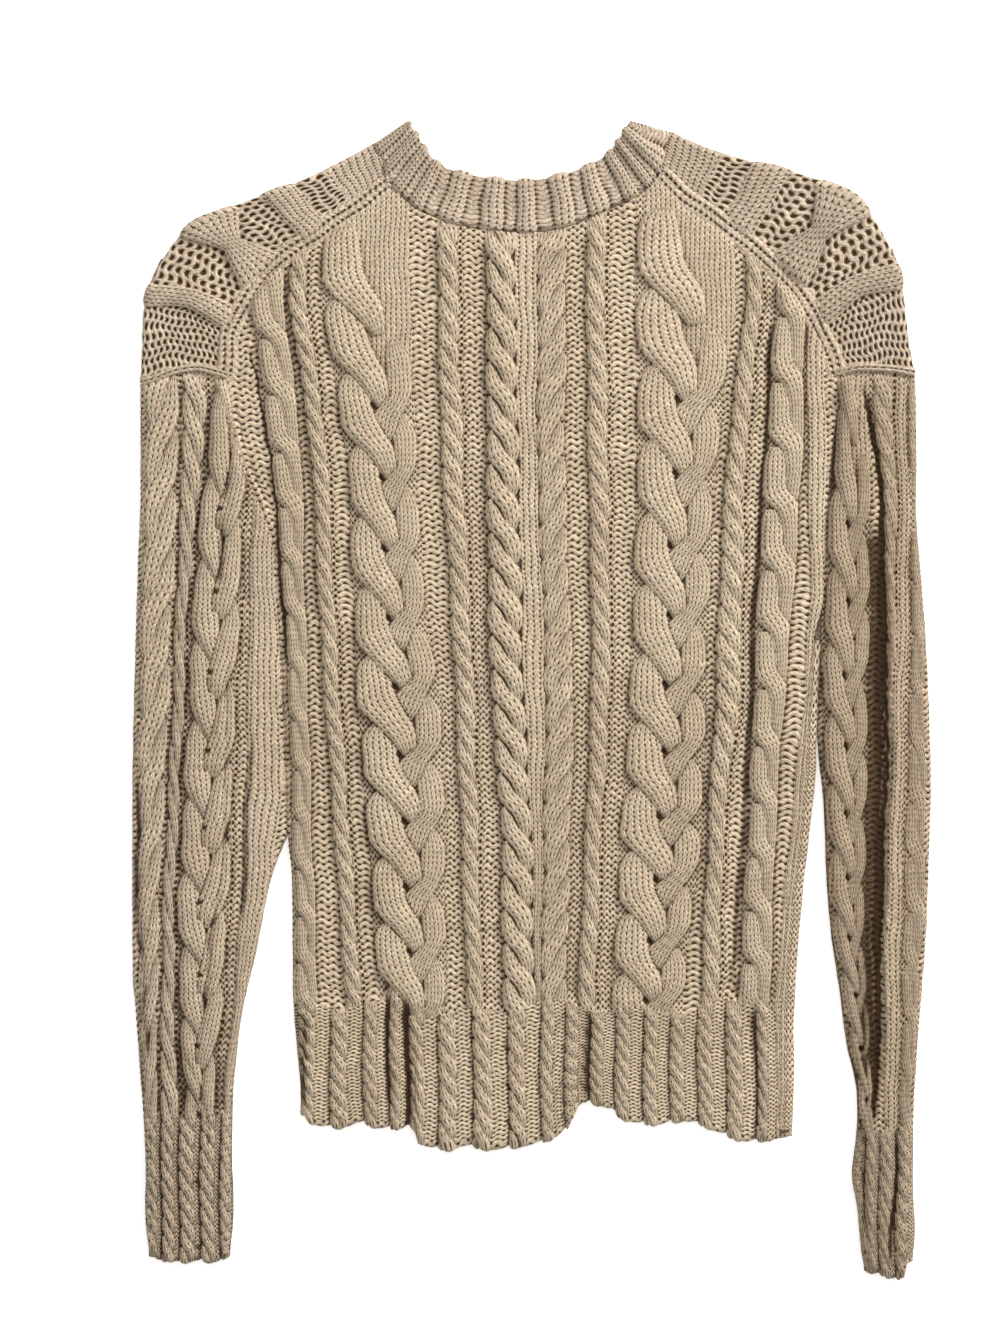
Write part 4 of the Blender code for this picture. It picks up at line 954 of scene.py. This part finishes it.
def yarn_nodes(g, wale, row, kind):
    """yarn_height as nodes, with the yarn's plies, its streaks and a chance for each stitch."""
    across = g.math("FRACT", wale)
    arm = g.math("ABSOLUTE", g.math("MULTIPLY_ADD", across, 2.0, -1.0))
    side = g.math("MINIMUM", g.math("DIVIDE", arm, LEG_WIDTH), 1.0)
    side = g.math("SUBTRACT", 1.0, side)
    leg_at = g.math("MULTIPLY_ADD", arm, -LEG_RISE, g.math("MULTIPLY", row, KNIT_ROWS))
    gap = g.math("SUBTRACT", 1.0, g.hump(leg_at))
    groove = g.math("MULTIPLY", side, g.math("MULTIPLY_ADD", gap, SIDE_GAP_SINK, SIDE_SINK))
    stroke = g.math("MULTIPLY", g.math("MULTIPLY", gap, gap), GAP_SINK)
    knit = g.math("MULTIPLY", g.math("SUBTRACT", 1.0, groove), g.math("SUBTRACT", 1.0, stroke))

    wave = g.math("COSINE", g.math("MULTIPLY", wale, 2 * math.pi))
    bar_at = g.math("MULTIPLY_ADD", wave, PURL_WAVE, row)
    gap = g.math("SUBTRACT", 1.0, g.hump(bar_at))
    square = g.math("MULTIPLY", wave, wave)
    depth = g.math("MULTIPLY_ADD", square, BAR_WAVE_SINK, BAR_SINK)
    opened = g.math("MINIMUM", g.math("MULTIPLY", gap, PURL_OPEN), 1.0)
    purl = g.math("SUBTRACT", 1.0, g.math("MULTIPLY", opened, depth))
    gap = g.math("MINIMUM", g.math("MULTIPLY", gap, NET_OPEN), 1.0)
    depth = g.math("MULTIPLY_ADD", g.math("ABSOLUTE", wave), NET_WAVE_SINK, NET_SINK)
    net = g.math("SUBTRACT", 1.0, g.math("MULTIPLY", gap, depth))
    is_purl = g.math("GREATER_THAN", kind, 0.5)
    yarn = g.mix(is_purl, knit, g.mix(g.math("GREATER_THAN", kind, 1.5), purl, net))

    leg_turns = g.math("MULTIPLY_ADD", arm, LEG_PLIES, leg_at)
    bar_turns = g.math("MULTIPLY_ADD", wale, BAR_PLIES, bar_at)
    ply = g.math("SINE", g.math("MULTIPLY", g.mix(is_purl, leg_turns, bar_turns), 4 * math.pi))
    strand = g.nodes.new("ShaderNodeCombineXYZ")
    g.put(strand, 0, g.math("MULTIPLY", wale, g.mix(is_purl, LEG_STREAKS[0], BAR_STREAKS[0])))
    g.put(strand, 1, g.math("MULTIPLY", g.mix(is_purl, leg_at, bar_at),
                            g.mix(is_purl, LEG_STREAKS[1], BAR_STREAKS[1])))
    streak = g.noise(strand.outputs[0], 1.0, 2.0, 0.6)
    stitch = g.nodes.new("ShaderNodeCombineXYZ")
    g.put(stitch, 0, g.math("FLOOR", wale))
    g.put(stitch, 1, g.math("FLOOR", g.mix(is_purl, leg_at, bar_at)))
    chance = g.nodes.new("ShaderNodeTexWhiteNoise")
    g.put(chance, "Vector", stitch.outputs[0])
    return yarn, ply, streak, chance.outputs["Value"]


def knit_material(name, colour):
    """Matt cotton yarn with its stitches, plies and fibres, and painted shade between the stitches
    and in creases.
    """
    material = bpy.data.materials.new(name)
    material.use_nodes = True
    g = Graph(material)
    shader = g.nodes["Principled BSDF"]
    place = g.nodes.new("ShaderNodeTexCoord").outputs["Object"]
    split = g.nodes.new("ShaderNodeSeparateXYZ")
    g.links.new(g.attribute("knit").outputs["Vector"], split.inputs[0])
    yarn, ply, streak, chance = yarn_nodes(g, *split.outputs)
    fibre = g.noise(place, FIBRE_SCALE, 3.0, 0.7)
    clump = g.noise(place, CLUMP_SCALE, 2.0, 0.6)

    # painted shade in creases and deep spots darkens the yarn's colour
    painted_crease_shade = g.range(g.attribute("painted_shade").outputs["Fac"], *CREASE_PART)
    lit = g.math("MULTIPLY", g.range(yarn, *LIT_PART),
                 g.math("MULTIPLY_ADD", painted_crease_shade, -CREASE_DARK, 1.0))
    tint = (*colour, 1)
    for scale, part, fades in ((TIRED_SCALE, TIRED_PART, TIRED), (ROSY_SCALE, ROSY_PART, ROSY)):
        patch = tuple(channel * fade for channel, fade in zip(colour, fades))
        tint = g.mix_colour(g.range(g.noise(place, scale), *part), tint, (*patch, 1))
    grain = g.nodes.new("ShaderNodeCombineXYZ")
    mottle = g.math("ADD", g.range(fibre, *FIBRE_SHADE), g.range(clump, *CLUMP_SHADE))
    mottle = g.math("ADD", mottle, g.math("MULTIPLY_ADD", chance, *CHANCE_SHADE))
    mottle = g.math("ADD", mottle, g.range(streak, *STREAK_SHADE))
    for i in range(3):
        g.put(grain, i, mottle)
    tint = g.mix_colour(1.0, tint, grain.outputs[0], "MULTIPLY")
    # painted shade: the colour turns to SHADE where the yarn lies low and in creases
    g.put(shader, "Base Color", g.mix_colour(lit, (*SHADE, 1), tint))

    height = g.math("MULTIPLY", yarn, YARN_BUMP)
    for texture, share in ((ply, PLY_BUMP), (fibre, FIBRE_BUMP), (chance, CHANCE_BUMP),
                           (streak, STREAK_BUMP)):
        height = g.math("MULTIPLY_ADD", texture, share, height)
    bump = g.nodes.new("ShaderNodeBump")
    for node, name, value in ((bump, "Strength", BUMP_STRENGTH), (bump, "Distance", BUMP_DEPTH * MM),
                              (bump, "Height", height), (shader, "Normal", bump.outputs[0]),
                              (shader, "Roughness", ROUGHNESS),
                              (shader, "Specular IOR Level", SPECULAR)):
        g.put(node, name, value)
    return material


# Pieces

def add_piece(sheet, name, material, node, slot, width, length, share=1.0, rests_on=(),
              rows=slice(None)):
    """Makes a sheet's piece, which rides on the garment's body and stands for its solid."""
    piece = sheet.make(name, material, rows)
    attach(piece, "root")
    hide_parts(node)


def back_pattern(left, right, top):
    """The back's knitting: its columns, hem rib, creases, and its edges."""
    def pattern(x, y):
        lefts, rights = left.line(y), right.line(y)
        cloth = Stitches(astray(x, y), y)
        lay_columns(cloth, BACK_LEVELS, BACK_COLUMNS, lefts, rights)
        level = y - RIB_TOP - RIB_WANDER * (np.sin(x / 8.3) + np.sin(x / 19 + 1))
        lay_ribs(cloth, HEM_VALLEYS, HEM_ROPE, 1 - smooth(level, -RIB_BLEND, RIB_BLEND))
        cloth.height *= smooth(top(x) - y, *TOP_FADE)
        cloth.height *= smooth(np.minimum(x - lefts, rights - x), *SIDE_FADE)
        lay_creases(cloth, BACK_CREASES)
        cloth.unevenness()
        return cloth
    return pattern


def hem_line(x):
    """The hem's own line with a scallop at each rib."""
    valleys = np.array(HEM_VALLEYS, float)
    k = np.clip(np.searchsorted(valleys, x) - 1, 0, len(valleys) - 2)
    u = np.clip((x - valleys[k]) / (valleys[k + 1] - valleys[k]), 0, 1)
    return along_x(HEM)(x) + NOTCH * (1 - np.sin(np.pi * u) ** 0.7)


def make_back(material):
    """The back panel, in strips from the hem up."""
    left = Side(BACK_LEFT, EDGE_ROLL, BACK_UNDER, LEFT_SLEEVE_SEWN)
    right = Side(BACK_RIGHT, SEAM_ROLL, BACK_UNDER, ALL_SEWN)
    top = along_x(BACK_TOP)
    sheet = panel(left, right, top, hem_line, BACK_HIGH, RIB_TOP, HEM_DEPTH,
                  back_pattern(left, right, top))
    rows = np.linspace(0, len(sheet.same) - 1, len(BACK_CUTS) + 1).astype(int)
    for k, cut in enumerate(BACK_CUTS):
        add_piece(sheet, f"back_{k + 1}", material, "back", "body_knit", *cut,
                  rests_on=["front_under"], rows=slice(rows[k], rows[k + 1] + 1))


def yoke_pattern(length, span):
    """A yoke's knitting. p runs from the neck to the sleeve and q from the fold to the seam."""
    def pattern(p, q):
        cloth = Stitches(p, q)
        place = p / length * 10
        share = np.clip(q / span, 0, 1)
        plain = place < YOKE_PLAIN
        cloth.wale = place * np.where(plain, CABLE_WALES, YOKE_WALES)
        cloth.row = q / np.where(place > YOKE_BARS, YOKE_BAR, YOKE_ROW)
        cloth.kind[:] = np.where(plain, KNIT, NET)
        for places, halves, height in YOKE_CABLES:
            v = place - np.interp(share, YOKE_SHARES, places)
            half = np.interp(share, YOKE_SHARES, halves)
            on = np.abs(v) < half
            dome = np.maximum(0, 1 - (v / half) ** 2) ** ROPE_ROUND
            cloth.height = np.where(on, height * dome, cloth.height)
            cloth.kind[on] = KNIT
            cloth.wale = np.where(on, v / half * np.mean(halves) * CABLE_WALES + 0.5, cloth.wale)
            cloth.row = np.where(on, q / ROW + 0.8 * v / half, cloth.row)
        cloth.height *= smooth(span - q, -1, 6) * smooth(p, 0, 5) * smooth(length - p, 0, 5)
        cloth.unevenness()
        return cloth
    return pattern


def make_yoke(name, table, material):
    length = sum(math.dist(a[2:4], b[2:4]) for a, b in zip(table, table[1:])) * YOKE_CURVE
    sheet = ribbon(table, yoke_pattern(length, YOKE_SPAN), length, YOKE_SPAN, ends=(True, True))
    add_piece(sheet, name, material, "front", "yoke_knit", length, YOKE_CUT,
              rests_on=["front_under"])


def plain_pattern(p, q):
    """Plain knitting, with wales along q."""
    cloth = Stitches(p, q)
    cloth.kind[:] = KNIT
    cloth.unevenness()
    return cloth


def wrap_pattern(p, q):
    """The wrap's knitting. p runs up its edge and q from there to the seam."""
    cloth = Stitches(p, q)
    cloth.wale = q / WALE + 0.3
    cloth.row = p / ROW
    cloth.kind[:] = np.where(q > WRAP_PURL, KNIT, PURL)
    cloth.unevenness()
    return cloth


def make_wrap(material):
    """The strip of the front that shows beside the back's right seam."""
    table = [(x, y, seam, y, 0) for x, y, seam in RIGHT_WRAP]
    sheet = ribbon(table, wrap_pattern, WRAP_LENGTH, WRAP_WIDTH, ends=(True, False))
    add_piece(sheet, "front_wrap", material, "front", "body_knit", WRAP_CUT, WRAP_LENGTH,
              rests_on=["front_under"])


def make_front_under(material):
    """The front panel's lower layer, which lies on the surface."""
    left, right = (Side(table, UNDER_ROLL, WALL, NOT_SEWN) for table in (FRONT_LEFT, FRONT_RIGHT))
    sheet = panel(left, right, along_x(FRONT_TOP), hem_line, FRONT_HIGH, RIB_TOP, HEM_DEPTH,
                  plain_pattern, **LOWER_LAYER)
    add_piece(sheet, "front_under", material, "front", "body_knit", *FRONT_CUT,
              share=FRONT_SHARE)


def sleeve_pattern(left, right, top, columns, creases, cuff_top, cuff_valleys):
    """A sleeve's knitting: its columns, cuff rib, creases, and its edges."""
    def pattern(x, y):
        lefts, rights = left.line(y), right.line(y)
        cloth = Stitches(astray(x, y), y)
        lay_columns(cloth, SLEEVE_LEVELS, columns, lefts, rights)
        plain = smooth(y, cuff_top - RIB_BLEND, cuff_top + RIB_BLEND)
        lay_ribs(cloth, cuff_valleys, CUFF_ROPE, 1 - plain)
        cloth.height *= smooth(top(x) - y, *SLEEVE_TOP_FADE)
        cloth.height *= smooth(np.minimum(x - lefts, rights - x), *SLEEVE_SIDE_FADE)
        lay_creases(cloth, creases)
        # painted shade that grows down the left sleeve towards its cuff
        cloth.shade += CUFF_SHADE * smooth(-y, *CUFF_SHADE_DOWN) * smooth(-x, *CUFF_SHADE_LEFT)
        cloth.unevenness()
        return cloth
    return pattern


def make_sleeve(name, left, right, top, bottom, columns, creases, cuff_top, cuff_depth,
                cuff_valleys, material):
    """A sleeve's upper layer with both folds, and the lower layer that closes it."""
    top, bottom = along_x(top), along_x(bottom)
    pattern = sleeve_pattern(left, right, top, columns, creases, cuff_top, cuff_valleys)
    sheet = panel(left, right, top, bottom, SLEEVE_HIGH, cuff_top, cuff_depth, pattern)
    add_piece(sheet, name + "_upper", material, name, "sleeve_knit", *SLEEVE_CUTS[0],
              rests_on=[name + "_lower"])

    y = np.linspace(SLEEVE_HIGH - 2, cuff_top - cuff_depth - 10, 60)
    left, right = (Side(np.column_stack([side.line(y), y]), UNDER_FOLD_ROLL, 0.0, NOT_SEWN)
                   for side in (left, right))
    sheet = panel(left, right, top, bottom, SLEEVE_HIGH, cuff_top, cuff_depth, plain_pattern,
                  **LOWER_LAYER)
    add_piece(sheet, name + "_lower", material, name, "sleeve_knit", *SLEEVE_CUTS[1])


def make_sleeves(material, shaded):
    make_sleeve("sleeve_left", Side(LEFT_SLEEVE_LEFT, FOLD_ROLL, 0.0, NOT_SEWN),
                Side(LEFT_SLEEVE_RIGHT, FOLD_ROLL, 0.0, LEFT_SLEEVE_SEWN), LEFT_SLEEVE_TOP,
                LEFT_SLEEVE_BOTTOM, LEFT_SLEEVE_COLUMNS, LEFT_SLEEVE_CREASES, LEFT_CUFF_TOP,
                LEFT_CUFF_DEPTH, LEFT_CUFF_VALLEYS, material)
    make_sleeve("sleeve_right", Side(RIGHT_SLEEVE_LEFT, FOLD_ROLL, 0.0, RIGHT_SLEEVE_SEWN),
                Side(RIGHT_SLEEVE_RIGHT, FOLD_ROLL, 0.0, NOT_SEWN), RIGHT_SLEEVE_TOP,
                RIGHT_SLEEVE_BOTTOM, RIGHT_SLEEVE_COLUMNS, RIGHT_SLEEVE_CREASES, RIGHT_CUFF_TOP,
                RIGHT_CUFF_DEPTH, RIGHT_CUFF_VALLEYS, shaded)


def band_pattern(length, ribs, height, groove):
    """The neckband's rib. Its wales run from the seam to the edge."""
    def pattern(p, q):
        cloth = Stitches(p, q)
        place = p / length * ribs
        u = place - np.floor(place)
        raised = u < BAND_SHARE
        valley = (u - BAND_SHARE) / (1 - BAND_SHARE)
        cloth.wale = np.where(raised, u / BAND_SHARE * 3, valley) + 0.5
        cloth.kind[:] = KNIT
        across = np.clip(u / BAND_SHARE, 0, 1)
        cloth.height = np.where(raised, height * np.sin(np.pi * across) ** 0.6, 0)
        cloth.shade[:] = np.where(raised, 0.0, BAND_SHADE)
        cloth.height = cloth.height - groove * np.exp(-((q - BAND_WIDTH) / 3.0) ** 2)
        cloth.unevenness()
        return cloth
    return pattern


def make_neckband(material):
    """The band over the back, folded at both shoulders, and its lower layer in front."""
    back, front = ([(edge_x, edge_y, x, y, 0) for x, y, edge_x, edge_y in band]
                   for band in (BACK_BAND, FRONT_BAND))
    pattern = band_pattern(BACK_BAND_LENGTH, BAND_RIBS, BAND_RIB_HEIGHT, BAND_GROOVE)
    sheet = ribbon(back, pattern, BACK_BAND_LENGTH, BAND_WIDTH, radius=EDGE_ROLL,
                   under=BACK_UNDER, ends=(True, True))
    add_piece(sheet, "neckband_back", material, "neckband", "rib_knit", BACK_BAND_LENGTH,
              BAND_WIDTH + 8, rests_on=["neckband_front"])

    pattern = band_pattern(FRONT_BAND_LENGTH, FRONT_BAND_RIBS, 0.0, 0.0)
    sheet = ribbon(front, pattern, FRONT_BAND_LENGTH, BAND_WIDTH, radius=UNDER_ROLL, outer=WALL)
    add_piece(sheet, "neckband_front", material, "neckband", "rib_knit", FRONT_BAND_LENGTH,
              BAND_WIDTH + 4)


def make_seam(name, node, slot, wales, half, height, line, material):
    """A raised seam over the join of two pieces: a smooth ridge, and holes in painted shade on the
    body's side.
    """
    points = curve(line, GRID)
    along = np.concatenate([[0], np.cumsum(np.hypot(*np.diff(points, axis=0).T))])
    tangent = np.gradient(points, axis=0)
    tangent /= np.linalg.norm(tangent, axis=1, keepdims=True)
    side = np.stack([-tangent[:, 1], tangent[:, 0]], -1)
    across = np.linspace(-half, half, max(8, round(2 * half / GRID)) + 1)
    p = np.tile(along[:, None], len(across))
    q = np.tile(across, (len(along), 1))

    def pattern(p, q):
        cloth = Stitches(p, q)
        across = (q + half) / (2 * half) * wales
        cloth.wale = across + 0.5
        cloth.row = p / SEAM_ROW
        cloth.kind[:] = KNIT
        if wales > 2:
            cloth.height = SEAM_RIDGE * np.sin(np.pi * np.clip(across, 0, 1)) ** 0.7
            beside = (across - np.round(across)) * 2 * half / wales
            gap = 1 - hump(cloth.row * KNIT_ROWS)
            # painted shade in the rows of holes
            cloth.shade += SEAM_SHADE * np.exp(-(beside / SEAM_HOLE) ** 2) * gap * (across > 0.5)
        else:
            cloth.height = SEAM_RIDGE * (0.5 - 0.5 * np.cos(2 * np.pi * across))
        cloth.unevenness()
        return cloth

    spots = points[:, None, :] + side[:, None, :] * across[None, :, None]
    arch = np.maximum(0, 1 - (q / half) ** 2) ** 0.5
    ends = smooth(p, -1, SEAM_END) * (1 - smooth(p, along[-1] - SEAM_END, along[-1] + 1))
    z = STACK - SEAM_SINK + (height + SEAM_SINK) * arch * (0.6 + 0.4 * ends)
    ground = np.concatenate([spots, z[..., None]], -1)
    normal = np.zeros_like(ground)
    normal[..., 2] = arch
    add_piece(Sheet(p, q, ground, normal, pattern), name, material, node, slot,
              2 * half + SEAM_END, along[-1], rests_on=["back_4"])


# Scene

def make_floor():
    mesh = bpy.data.meshes.new("floor")
    size = FLOOR_SIZE
    mesh.from_pydata([(-size, -size, 0), (size, -size, 0), (size, size, 0), (-size, size, 0)], [],
                     [(0, 1, 2, 3)])
    material = bpy.data.materials.new("white_table")
    material.use_nodes = True
    shader = material.node_tree.nodes["Principled BSDF"]
    for name, value in (("Base Color", (FLOOR_GREY, FLOOR_GREY, FLOOR_GREY, 1)),
                        ("Roughness", FLOOR_ROUGHNESS), ("Emission Color", (1, 1, 1, 1)),
                        ("Emission Strength", FLOOR_GLOW)):
        shader.inputs[name].default_value = value
    mesh.materials.append(material)
    floor = bpy.data.objects.new("floor", mesh)
    floor.location.z = FLOOR_Z
    bpy.context.scene.collection.objects.link(floor)


def make_light(name, place, size, watts, colour):
    light = bpy.data.lights.new(name, "AREA")
    light.size, light.energy, light.color = size, watts, colour
    lamp = bpy.data.objects.new(name, light)
    lamp.location = place
    lamp.rotation_euler = (math.acos(place[2] / math.hypot(*place)), 0,
                           math.atan2(place[0], -place[1]))
    bpy.context.scene.collection.objects.link(lamp)


def make_camera():
    """Straight above the frame's centre, and as high as its height needs."""
    camera = bpy.data.cameras.new("camera")
    camera.sensor_fit = "VERTICAL"
    camera.sensor_height = SENSOR
    camera.lens = SENSOR * (CAMERA_HEIGHT - STACK * MM) / (FRAME_HEIGHT * MM)
    eye = bpy.data.objects.new("camera", camera)
    eye.location = (FRAME_CENTRE[0] * MM, FRAME_CENTRE[1] * MM, CAMERA_HEIGHT)
    bpy.context.scene.collection.objects.link(eye)
    bpy.context.scene.camera = eye


def make_world():
    world = bpy.data.worlds.new("studio")
    world.use_nodes = True
    background = world.node_tree.nodes["Background"]
    background.inputs["Color"].default_value = (1, 1, 1, 1)
    background.inputs["Strength"].default_value = WORLD_STRENGTH
    bpy.context.scene.world = world


def main():
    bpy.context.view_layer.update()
    body = knit_material("body_cotton", CREAM)
    yoke = knit_material("yoke_cotton", YOKE_CREAM)
    sleeve = knit_material("sleeve_cotton", SLEEVE_CREAM)
    rib = knit_material("rib_cotton", BAND_CREAM)
    make_front_under(body)
    make_back(body)
    make_wrap(body)
    make_yoke("front_yoke_left", LEFT_YOKE, yoke)
    # the right yoke takes the darker copy, painted shade
    make_yoke("front_yoke_right", RIGHT_YOKE, knit_material("yoke_cotton_right_shaded", SHADED_RIGHT_YOKE_CREAM))
    make_sleeves(sleeve, knit_material("sleeve_cotton_shaded", SHADED_CREAM))
    make_neckband(rib)
    for name, seam in SEAMS.items():
        make_seam(name, *seam, yoke)
    make_floor()
    make_world()
    for light in LIGHTS:
        make_light(*light)
    make_camera()
    bpy.context.scene.view_settings.view_transform = "Standard"


main()
